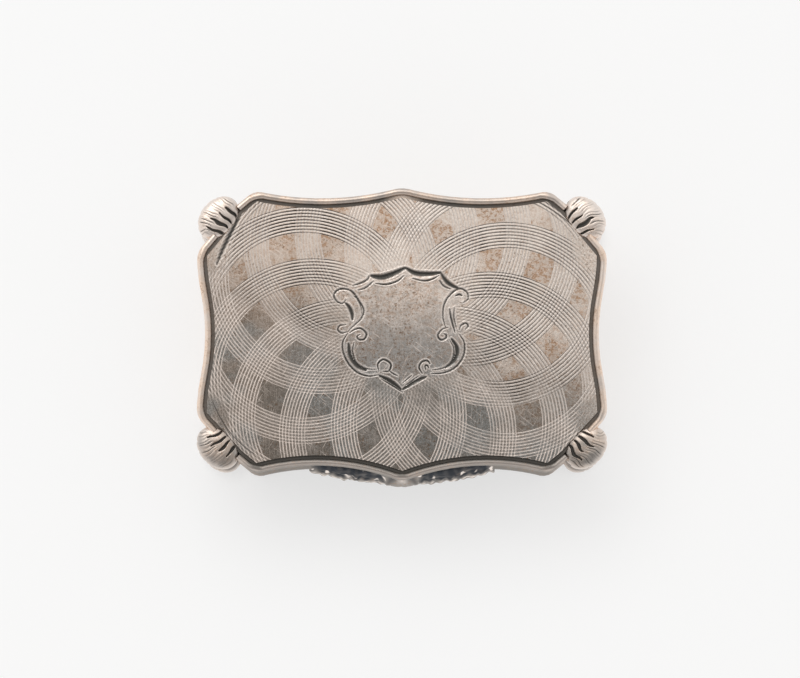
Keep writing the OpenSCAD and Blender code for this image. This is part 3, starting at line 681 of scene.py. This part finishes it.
def cut_points():
    """Closely spaced points along every cut, with the cut's half width at each"""
    for widest, *points in CUTS:
        path = [Vector((x, y, 0)) * MM for x, y in points]
        ends = [path[0] * 2 - path[1], *path, path[-1] * 2 - path[-2]]
        runs = len(path) - 1
        for i in range(runs):
            before, start, stop, after = ends[i:i + 4]
            steps = max(4, round((stop - start).length / CUT_SPACING))
            curve = geometry.interpolate_bezier(
                start, start + (stop - before) / 6, stop - (after - start) / 6, stop, steps
            )
            for k, point in enumerate(curve):
                share = (i + k / steps) / runs
                yield point, CUT_WEIGHT * widest * MM * (0.35 + 0.65 * math.sin(math.pi * share) ** 0.7)


def in_field(x, y):
    """Whether a place lies in the bare field"""
    held = False
    for (x0, y0), (x1, y1) in zip(FIELD, FIELD[1:] + FIELD[:1]):
        if (y0 > y) != (y1 > y) and x < x0 + (x1 - x0) * (y - y0) / (y1 - y0):
            held = not held
    return held


def panel_mesh(case, engraving):
    """The lid's crowned sheet with the cartouche cut into its top"""
    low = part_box("lid_panel")[0]
    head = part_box("lid_moulding")[1].z - case.panel_drop
    bm = bmesh.new()
    face = case_plan(bm, case, head)
    step_in(bm, face, case.bead + case.groove, 0)
    bmesh.ops.delete(bm, geom=[f for f in bm.faces if f is not face], context="FACES")
    rim = face.edges[:]
    bmesh.ops.delete(bm, geom=[face], context="FACES_ONLY")
    bmesh.ops.subdivide_edges(bm, edges=rim, cuts=5)
    rim, brim = bm.edges[:], set(bm.verts)
    foot = bmesh.ops.extrude_edge_only(bm, edges=rim)["geom"]
    bmesh.ops.translate(bm, verts=only(BMVert, foot), vec=(0, 0, low.z - head))
    bmesh.ops.edgeloop_fill(bm, edges=only(BMEdge, foot))
    # Rings of faces as shares of the plan: close at the edge, wide inside it and close under the cartouche
    shares = [0.994, 0.987] + [0.98 - 0.0075 * i for i in range(12)] + [1 - 0.04 * i for i in range(3, 12)]
    shares += [0.56 - 0.0048 * i for i in range(1, 105)] + [0.04]
    before, ring = 1, rim
    for share in shares:
        made = bmesh.ops.extrude_edge_only(bm, edges=ring)["geom"]
        verts = only(BMVert, made)
        if before == 1:
            brim.update(verts)
        bmesh.ops.scale(bm, verts=verts, vec=(share / before, share / before, 1))
        before, ring = share, only(BMEdge, made)
    bmesh.ops.edgeloop_fill(bm, edges=ring)
    points = list(cut_points())
    tree = kdtree.KDTree(len(points))
    for i, (point, _) in enumerate(points):
        tree.insert(point, i)
    tree.balance()
    cut, painted_highlight, field = vert_layers(bm, "cut", "painted_highlight", "field")
    for vert in bm.verts:
        x, y, z = vert.co
        # The sheet's edge in the groove, and its underside, are painted dark: painted shade in the groove
        if z < head - case.sheet / 2:
            vert[cut] = 1
            continue
        across, along = x / case.crown_width, y / case.crown_depth
        vert.co.z += case.crown * max(0, 1 - across ** 2) * max(0, 1 - along ** 2)
        vert[field] = float(in_field(x / MM, y / MM))
        index, far = tree.find(Vector((x, y, 0)))[1:]
        half = points[index][1]
        depth = max(0, 1 - far / half)
        vert[cut] = min(1, 2.2 * depth)
        # A raised burr beside each cut, which also gets a painted highlight
        vert[painted_highlight] = hump(far, half + BURR_OUT, BURR_HALF)
        vert.co.z -= engraving.cut_depth * min(1, half / (0.1 * MM)) * depth
        vert.co.z += 0.25 * engraving.cut_depth * vert[painted_highlight]
        # The panel's edge by the groove gets a painted highlight
        if vert in brim:
            vert[painted_highlight] = 1
    bmesh.ops.recalc_face_normals(bm, faces=bm.faces[:])
    for each in bm.faces:
        each.material_index = int(each.normal.z < -0.5)
    return bm


def border_mesh(case, leaves, seat, margin):
    """A border with its bead uppermost at height 0, its corners worn, cut away under the leaves"""
    round_steps, cove_steps, hair = 10, 6, 0.02 * MM
    bead = case.bead / 2
    straight_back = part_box("lid_wall")[1].y - case.wall / 2
    bm = bmesh.new()
    cut, painted_highlight, corner = vert_layers(bm, "cut", "painted_highlight", "corner")
    top = case_plan(bm, case, -bead)
    for loop in top.loops:
        loop.vert[corner] = float(loop.calc_angle() < math.radians(165))
    under = only(BMFace, bmesh.ops.duplicate(bm, geom=[top])["geom"])[0]
    bmesh.ops.reverse_faces(bm, faces=[under])
    for i in range(round_steps):
        now, then = (math.pi * k / round_steps for k in (i + 1, i))
        step_in(bm, top, bead * (math.cos(then) - math.cos(now)), bead * (math.sin(now) - math.sin(then)))
        for vert in top.verts:
            # Painted light on the bead: its inner slope is painted dark, painted shade with some grime, most in
            # front and least at the back, and the front bead's outer slope gets a painted highlight band, a painted
            # reflection of the floor
            front, back = (clamped((side * vert.co.y / MM - 6) / 5) for side in (-1, 1))
            round_share, begin = (i + 1) / round_steps, 0.3 + 0.15 * front
            vert[cut] = (0.5 + 0.4 * front - 0.3 * back) * max(0, (round_share - begin) / (1 - begin)) ** 0.7
            vert[painted_highlight] = 0.5 * front * hump(round_share, 0.42, 0.25)
    floor = margin + case.groove_depth
    for inward, rise in (
        (hair, bead - floor), (case.groove - hair, 0), (0, floor - seat),
        (case.overhang + case.wall - case.bead - case.groove, 0),
    ):
        step_in(bm, top, inward, rise)
        # The groove's walls and floor are painted dark, painted shade with some oxide, less at the middle of the
        # back
        for vert in top.verts:
            rubbed = hump(vert.co.x, 0, 2 * MM) if vert.co.y > 0 else 0
            vert[cut], vert[corner] = 0.85 * (1 - rubbed), 0
    step_in(bm, under, 0, case.upright)
    cove_in, cove_down = case.overhang - bead, case.border_height - bead - case.upright
    for i in range(cove_steps):
        now, then = (math.pi / 2 * k / cove_steps for k in (i + 1, i))
        step_in(bm, under, cove_in * (math.cos(then) - math.cos(now)), cove_down * (math.sin(now) - math.sin(then)))
    step_in(bm, under, case.wall + bead, 0)
    for vert in under.verts:
        vert[corner] = 0
    inner = [*top.edges, *under.edges]
    for vert in {v for e in inner for v in e.verts}:
        vert.co.y = min(vert.co.y, straight_back)
    bmesh.ops.delete(bm, geom=[top, under], context="FACES_ONLY")
    bmesh.ops.bridge_loops(bm, edges=inner)
    merge_points(bm)
    mitres = [e for e in bm.edges if all(v[corner] > 0.5 for v in e.verts)]
    bmesh.ops.bevel(
        bm, geom=mitres, offset=case.worn, segments=3, profile=0.5, affect="EDGES", material=-1, clamp_overlap=True
    )
    hidden = set()
    for signs in CORNERS.values():
        outward, along, centre = leaf_frame(leaves, case, *signs)
        for face in bm.faces:
            spot = face.calc_center_median() - centre
            near = abs(spot.dot(along)) < 0.8 * leaves.half_length
            if near and spot.dot(outward) > -leaves.out - case.bead - hair and spot.xy.length < 4 * MM:
                hidden.add(face)
    bmesh.ops.delete(bm, geom=list(hidden), context="FACES")
    bmesh.ops.holes_fill(bm, edges=[e for e in bm.edges if e.is_boundary])
    merge_points(bm)
    bmesh.ops.recalc_face_normals(bm, faces=bm.faces[:])
    return bm


def leaf_mesh(leaves, case, corner, way, middle):
    """A cushion in the leaf's own directions, cleft into lobes and hatched, with a painted highlight on its rim,
    then put in its corner
    """
    chord = -leaves.out - case.bead - case.groove - 0.03 * MM
    rim, least_gap = 0.2 * MM, 0.04 * MM
    bm = bmesh.new()
    cut, painted_highlight = vert_layers(bm, "cut", "painted_highlight")
    bmesh.ops.create_uvsphere(bm, u_segments=240, v_segments=100, radius=1)
    for vert in bm.verts:
        x, y, z = vert.co
        share = min(1, math.hypot(x, y))
        u, v = x * leaves.reach, y * leaves.half_length
        out = max(0, (u - chord) / (leaves.reach * math.sqrt(max(0.05, 1 - y * y)) - chord))
        lobe = (math.atan2(v, u + leaves.fan) / leaves.spread + 1) / 2 * leaves.lobes + 0.45 * out ** 2 - 0.1
        lobe += 0.35 * noise.noise((3.5 * out, 0.9 * lobe, 9.1 * corner[0] + 4.3 * corner[1])) * (1 - 0.5 * out)
        part = lobe - math.floor(lobe)
        wide = 2 * leaves.spread / leaves.lobes * (u + leaves.fan)
        off = min(part, 1 - part) * wide if 0.5 < lobe < leaves.lobes - 0.5 else wide
        odd = noise.noise((3.7 * round(lobe), 5.1 * corner[0], 7.3 * corner[1] + way))
        run = clamped((out - 0.04) / (0.56 + 0.25 * odd))
        gap = (0.13 + 0.08 * odd) * MM * (1.3 - 0.6 * run) * (4 * run * (1 - run)) ** 0.7
        split = clamped((gap - off) / (2 * least_gap) + 0.5) if gap > least_gap else 0
        crease = math.exp(-(off / (0.11 * MM)) ** 2)
        fine = max(0, math.cos(math.tau * part * wide / leaves.hatch)) ** 1.2 if 0.15 < part < 0.8 else 0
        fine *= max(0, min(1, (out - 0.4) / 0.15, (0.95 - out) / 0.1)) * max(0.5, min(1, 0.5 + 3 * odd))
        full = (1 - share ** 3) ** 0.5
        # The rim gets a painted highlight, a painted reflection of the pale floor
        vert[painted_highlight] = 0.8 * share ** 10
        scallop = 1 - (0.03 if z > 0 else 0.04) * share ** 4 * crease
        u, v = u * scallop, v * scallop
        if z > 0:
            height = rim + (leaves.rise - rim) * full
            height -= (0.2 * split + 0.06 * crease * (1 - out) + 0.05 * fine) * MM * min(1, 3 * full)
            vert[cut] = min(1, 0.9 * split + 0.25 * crease * (1 - out) + 0.95 * fine)
        else:
            height = -rim - (leaves.fall - rim) * full + 0.1 * MM * crease * min(1, 3 * full)
            vert[cut] = 0.6 * crease * (1 - share ** 6)
        vert.co = Vector((max(u, chord), v, height))
    outward, along, centre = leaf_frame(leaves, case, *corner)
    turn = Matrix((outward, along, (0, 0, way))).transposed().to_4x4()
    bmesh.ops.transform(bm, verts=bm.verts[:], matrix=Matrix.Translation(centre + Vector((0, 0, middle))) @ turn)
    merge_points(bm)
    bmesh.ops.recalc_face_normals(bm, faces=bm.faces[:])
    return bm


# Ends of the thumbpiece's tongue and inner leaf as shares of half the width, and the ribs on a leaf
TONGUE, JOINT, RIBS = 0.17, 0.58, 4


def thumb_rough(share, level):
    """How crumpled a leaf is, and how ragged its edge"""
    crumple = noise.noise((share * 11, level * 4, 3.1)) * (abs(share) > TONGUE)
    return crumple, noise.noise((share * 21, 0.7, 8.3))


def thumb_carved(share, level, low, high):
    """How far a place lies behind the front, how high it is, and how deep between the ribs from 0 to 1"""
    away = abs(share)
    crumple, ragged = thumb_rough(share, level)
    start, stop = (0, TONGUE) if away < TONGUE else (TONGUE, JOINT) if away < JOINT else (JOINT, 1)
    leaf = (away - start) / (stop - start)
    hollow = math.sin(math.pi * leaf) ** 0.5 if away > TONGUE else 0.0
    lean = 0.25 * (1 - level) + 0.12 * noise.noise((share * 5, level * 1.5, 4.4))
    valley = 0.5 - 0.5 * math.cos(math.tau * RIBS * (leaf - lean))
    valley *= clamped((away - TONGUE) / 0.03) * min(1, max(0.45, (0.75 - level) / 0.2))
    ridge = clamped((away - 0.03) / TONGUE) if away < TONGUE else 1
    foot = low + (high - low) * 0.42 * share ** 2
    foot += MM * (0.4 * (1 - hollow) + 0.12 * valley) * (1 - level)
    sweep, roll = 1.3 * share ** 2, 1.1 * ((level - 0.4) / 0.6) ** 2
    behind = sweep + roll + 0.3 * hollow * hump(level, 0.68, 0.26)
    behind += 0.14 * crumple + 0.1 * ragged + 0.2 * ridge + 0.12 * valley
    return MM * max(0, behind), foot + (high - foot) * level, valley


def thumb_painted_light(share, level, valley):
    """Painted light: how strong the painted highlight and how dark the painted shade and dark reflection are at a
    place, from 0 to 1
    """
    away = abs(share)
    crumple, ragged = thumb_rough(share, level)
    # Painted shade and dark reflection in the hollows under the border, darker in the valleys between the ribs
    dark = clamped((level - 0.5 - 0.1 * ragged) / 0.15)
    dark *= min(1, max(0, away - TONGUE) / 0.04, (1 - away) / 0.1)
    dark *= min(1, 1.1 + 0.7 * noise.noise((share * 7, level * 13, 2.4))) * (0.88 + 0.4 * valley)
    # Painted highlights: a bright rim along the lower edge, a glint at each joint, strongest on the left, scattered
    # glints on the leaves and one on the tongue's crest
    edge = hump(level, 0.46, 0.11) * (away > 0.7 * TONGUE)
    edge *= 0.6 + 1.3 * noise.noise((share * 17, level * 21, 6.2))
    fold = math.exp(-((away - JOINT) / 0.035) ** 2) * hump(level, 0.68, 0.12)
    fold *= 0.3 if share > 0 else 1
    spark = 6 * max(0, noise.noise((share * 13, level * 6, 1.9)) - 0.36)
    spark *= level > 0.6 and away > TONGUE
    crest = 0.7 * hump(away, 0, 0.07) * clamped((level - 0.7) / 0.15)
    bright = min(1, max(edge, fold, crest, spark))
    # Painted shade at the sides of the tongue
    lip = clamped((TONGUE + 0.03 - away + 0.04 * crumple) / 0.06)
    tip = 0.55 * lip * math.exp(-((away - 0.15 + 0.25 * (level - 0.7)) / 0.05) ** 2) * (level > 0.5)
    return bright, min(1, max(tip, dark, 0.8 * valley ** 2)) * (1 - bright)


# Operators


class VINAIGRETTE_OT_finishes(Operator):
    """Make the metals, the sponge and the floor's finish"""

    bl_idname = "vinaigrette.finishes"
    bl_label = "Finishes"

    def execute(self, context):
        finishes = context.scene.vinaigrette_finishes
        engraving = context.scene.vinaigrette_engraving
        FINISH["turned silver"] = panel_finish("Engine-turned silver", finishes, engraving)
        silver, pale, shadow = finishes.silver, finishes.pale_silver, finishes.shadow
        silvers = {
            "border silver": ("Worn border silver", silver, 0.35, 0.5, shadow),
            "leaf silver": ("Leaf silver", pale, 0.76, 0.25, shadow),
            # The thumbpiece's brighter pale silver is its painted highlight, and the painted hollow shade is its
            # dark
            "thumbpiece silver": ("Thumbpiece silver", shaded(pale, 1.1), 0.3, 0, finishes.painted_hollow_shade),
            "side silver": ("Reeded side silver", silver, 0.2, 0.5, shadow, True),
        }
        for key, (name, *wear) in silvers.items():
            FINISH[key] = silver_finish(name, finishes, *wear)
        FINISH["gilt"] = gilt_finish("Gilding", finishes, 0.35)
        FINISH["grille gilt"] = gilt_finish("Grille gilding", finishes, 0.15)
        FINISH["sponge"] = sponge_finish("Sponge", finishes)
        FINISH["floor"] = floor_finish("Paper", finishes)
        return {"FINISHED"}


class VINAIGRETTE_OT_lid_panel(Operator):
    """Make the lid's engine-turned panel with its engraved cartouche"""

    bl_idname = "vinaigrette.lid_panel"
    bl_label = "Lid panel"

    def execute(self, context):
        bm = panel_mesh(context.scene.vinaigrette_case, context.scene.vinaigrette_engraving)
        finish_piece(bm, "engraved_panel", "lid", ["turned silver", "gilt"], ["lid_panel"], 60)
        return {"FINISHED"}


class VINAIGRETTE_OT_borders(Operator):
    """Make the beaded borders of the lid and the base"""

    bl_idname = "vinaigrette.borders"
    bl_label = "Borders"

    def execute(self, context):
        case, leaves = context.scene.vinaigrette_case, context.scene.vinaigrette_leaves
        lid = border_mesh(case, leaves, case.panel_drop + case.sheet, case.panel_drop)
        bmesh.ops.translate(lid, verts=lid.verts[:], vec=(0, 0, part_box("lid_moulding")[1].z))
        finish_piece(lid, "lid_border", "lid", ["border silver"], ["lid_moulding"])
        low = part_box("base_moulding")[0].z
        base = border_mesh(case, leaves, *(plate.z - low for plate in reversed(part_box("base_plate"))))
        bmesh.ops.scale(base, verts=base.verts[:], vec=(1, 1, -1))
        bmesh.ops.translate(base, verts=base.verts[:], vec=(0, 0, low))
        bmesh.ops.reverse_faces(base, faces=base.faces[:])
        finish_piece(base, "base_border", "base", ["border silver"], ["base_moulding"])
        return {"FINISHED"}


class VINAIGRETTE_OT_corner_leaves(Operator):
    """Make the carved leaves at the corners of the lid and the base"""

    bl_idname = "vinaigrette.corner_leaves"
    bl_label = "Corner leaves"

    def execute(self, context):
        case, leaves = context.scene.vinaigrette_case, context.scene.vinaigrette_leaves
        levels = {
            "lid": (1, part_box("lid_moulding")[1].z - case.border_height / 2),
            "base": (-1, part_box("base_moulding")[0].z + case.border_height / 2),
        }
        for body, (way, middle) in levels.items():
            for corner, signs in CORNERS.items():
                bm = leaf_mesh(leaves, case, signs, way, middle)
                finish_piece(
                    bm, f"{corner}_{body}_leaf", body, ["leaf silver"], [f"{body}_leaf_{corner}"], 70
                )
        return {"FINISHED"}


class VINAIGRETTE_OT_thumbpiece(Operator):
    """Make the leafy thumbpiece"""

    bl_idname = "vinaigrette.thumbpiece"
    bl_label = "Thumbpiece"

    def execute(self, context):
        leaves = context.scene.vinaigrette_leaves
        low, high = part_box("thumbpiece")
        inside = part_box("lid_wall")[0].y
        bm = bmesh.new()
        cut, painted_highlight = vert_layers(bm, "cut", "painted_highlight")
        bmesh.ops.create_grid(bm, x_segments=260, y_segments=36, size=1)
        for vert in bm.verts:
            share, level = vert.co.x, (vert.co.y + 1) / 2
            behind, height, valley = thumb_carved(share, level, low.z, high.z)
            vert.co = Vector((share * leaves.thumb_width / 2, low.y + behind, height))
            # Each place's painted highlight and painted shade
            vert[painted_highlight], vert[cut] = thumb_painted_light(share, level, valley)
        made = bmesh.ops.extrude_edge_only(bm, edges=[e for e in bm.edges if e.is_boundary])["geom"]
        for vert in only(BMVert, made):
            vert.co.y = inside + 2.2 * MM
        bmesh.ops.edgeloop_fill(bm, edges=only(BMEdge, made))
        bmesh.ops.recalc_face_normals(bm, faces=bm.faces[:])
        finish_piece(bm, "leafy_thumbpiece", "lid", ["thumbpiece silver"], ["thumbpiece"], 60)
        return {"FINISHED"}


class VINAIGRETTE_OT_sides(Operator):
    """Make the walls, gilt inside, and the gilt bezel"""

    bl_idname = "vinaigrette.sides"
    bl_label = "Sides"

    def execute(self, context):
        for node, body, name in (("lid_wall", "lid", "lid_side"), ("base_wall", "base", "base_side")):
            bm = cad_copy(node)
            for face in bm.faces:
                face.material_index = int(face.normal.xy.dot(face.calc_center_median().xy) < 0)
            finish_piece(bm, name, body, ["side silver", "gilt"], [node], 30)
        finish_piece(cad_copy("bezel"), "bezel_band", "base", ["gilt"], ["bezel"], 30)
        return {"FINISHED"}


class VINAIGRETTE_OT_fittings(Operator):
    """Give the hinges, the ledge, the bottom plate and the pierced grille their finishes"""

    bl_idname = "vinaigrette.fittings"
    bl_label = "Fittings"

    def execute(self, context):
        finishes = {
            "turned silver": ["base_plate"],
            "border silver": ["base_hinge_lugs", "lid_hinge_lugs", "hinge_pin"],
            "gilt": ["grille_ledge", "grille_hinge_brackets", "grille_pin"],
            "grille gilt": ["grille_plate", "grille_hinge_lugs", "grille_tab"],
        }
        for finish, nodes in finishes.items():
            for node in nodes:
                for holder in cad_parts[node].material_slots:
                    holder.material = FINISH[finish]
        return {"FINISHED"}


class VINAIGRETTE_OT_sponge(Operator):
    """Make the soft sponge under the grille"""

    bl_idname = "vinaigrette.sponge"
    bl_label = "Sponge"

    def execute(self, context):
        low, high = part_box("sponge")
        bm = cad_copy("sponge")
        piece = finish_piece(bm, "soft_sponge", "base", ["sponge"], ["sponge"], 180)
        grain = piece.modifiers.new("Grain", "REMESH")
        grain.mode = "VOXEL"
        grain.voxel_size = 0.3 * MM
        dressed = bpy.data.meshes.new_from_object(piece.evaluated_get(context.evaluated_depsgraph_get()))
        piece.modifiers.clear()
        piece.data = dressed
        bm = bmesh.new()
        bm.from_mesh(dressed)
        bmesh.ops.smooth_vert(bm, verts=bm.verts[:], factor=0.5, use_axis_x=True, use_axis_y=True, use_axis_z=True)
        bm.normal_update()
        for vert in bm.verts:
            spot = vert.co / MM
            pit = max(0, 1 - noise.voronoi(spot * 0.75)[0][0] / 0.38)
            lump = noise.noise(spot * 0.28)
            crown = max(0, 1 - (vert.co.x / high.x) ** 2) * max(0, 1 - (vert.co.y / high.y) ** 2)
            top = max(0, (vert.co.z - low.z) / (high.z - low.z) - 0.5) * 2
            vert.co -= vert.normal * MM * (0.32 * pit + 0.14 * lump + 0.16)
            vert.co.z = max(low.z, vert.co.z + 0.5 * MM * crown * top)
        bm.to_mesh(dressed)
        bm.free()
        for face in dressed.polygons:
            face.use_smooth = True
        return {"FINISHED"}


class VINAIGRETTE_OT_stage(Operator):
    """Make the floor, the lights and the camera"""

    bl_idname = "vinaigrette.stage"
    bl_label = "Stage"

    def execute(self, context):
        scene, stage = context.scene, context.scene.vinaigrette_stage
        scene.view_settings.view_transform = "Standard"
        bm = bmesh.new()
        bmesh.ops.create_grid(bm, x_segments=8, y_segments=8, size=1.5)
        bmesh.ops.translate(bm, verts=bm.verts[:], vec=(0, 0, -0.02 * MM))
        placed_mesh(bm, "floor", ["floor"])

        aim = Vector((stage.aim_x, stage.aim_y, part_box("lid_moulding")[1].z))
        back = Vector((0, -math.sin(stage.tilt), math.cos(stage.tilt)))
        camera = bpy.data.cameras.new("camera")
        camera.lens = stage.lens
        camera.clip_start, camera.clip_end = 0.01, 20
        scene.camera = placed("camera", camera)
        scene.camera.location = aim + back * (stage.view_width * stage.lens / camera.sensor_width)
        scene.camera.rotation_euler = (-back).to_track_quat("-Z", "Y").to_euler()

        width, depth, radiance = 0.7, 0.5, 1.9
        light = bpy.data.lights.new("soft box", "AREA")
        light.shape = "RECTANGLE"
        light.size, light.size_y = width, depth
        light.energy = radiance * math.pi * width * depth
        lamp = placed("soft box", light)
        lamp.location = (-0.25, 0.55, 0.75)
        lamp.rotation_euler = (Vector((0, 0, 0.01)) - lamp.location).to_track_quat("-Z", "Y").to_euler()
        studio_sky(scene)
        return {"FINISHED"}


class VINAIGRETTE_PT_pieces(Panel):
    """The steps that dress the box"""

    bl_label = "Vinaigrette"
    bl_idname = "VINAIGRETTE_PT_pieces"
    bl_space_type = "VIEW_3D"
    bl_region_type = "UI"
    bl_category = "Vinaigrette"

    def draw(self, context):
        for step in STEPS:
            self.layout.operator(step.bl_idname)
        for group in GROUPS:
            settings = getattr(context.scene, group)
            for name in settings.__annotations__:
                self.layout.prop(settings, name)


GROUPS = {
    "vinaigrette_case": CaseSizes,
    "vinaigrette_leaves": LeafSizes,
    "vinaigrette_engraving": EngravingSizes,
    "vinaigrette_finishes": Finishes,
    "vinaigrette_stage": StageSizes,
}
STEPS = (
    VINAIGRETTE_OT_finishes,
    VINAIGRETTE_OT_stage,
    VINAIGRETTE_OT_lid_panel,
    VINAIGRETTE_OT_borders,
    VINAIGRETTE_OT_corner_leaves,
    VINAIGRETTE_OT_thumbpiece,
    VINAIGRETTE_OT_sides,
    VINAIGRETTE_OT_fittings,
    VINAIGRETTE_OT_sponge,
)


def register():
    for group, settings in GROUPS.items():
        bpy.utils.register_class(settings)
        setattr(bpy.types.Scene, group, PointerProperty(type=settings))
    for step in (*STEPS, VINAIGRETTE_PT_pieces):
        bpy.utils.register_class(step)


def unregister():
    for step in (VINAIGRETTE_PT_pieces, *reversed(STEPS)):
        bpy.utils.unregister_class(step)
    for group, settings in GROUPS.items():
        delattr(bpy.types.Scene, group)
        bpy.utils.unregister_class(settings)


def main():
    register()
    bpy.ops.vinaigrette.finishes()
    bpy.ops.vinaigrette.stage()
    bpy.ops.vinaigrette.lid_panel()
    bpy.ops.vinaigrette.borders()
    bpy.ops.vinaigrette.corner_leaves()
    bpy.ops.vinaigrette.thumbpiece()
    bpy.ops.vinaigrette.sides()
    bpy.ops.vinaigrette.fittings()
    bpy.ops.vinaigrette.sponge()


if __name__ == "__main__":
    main()
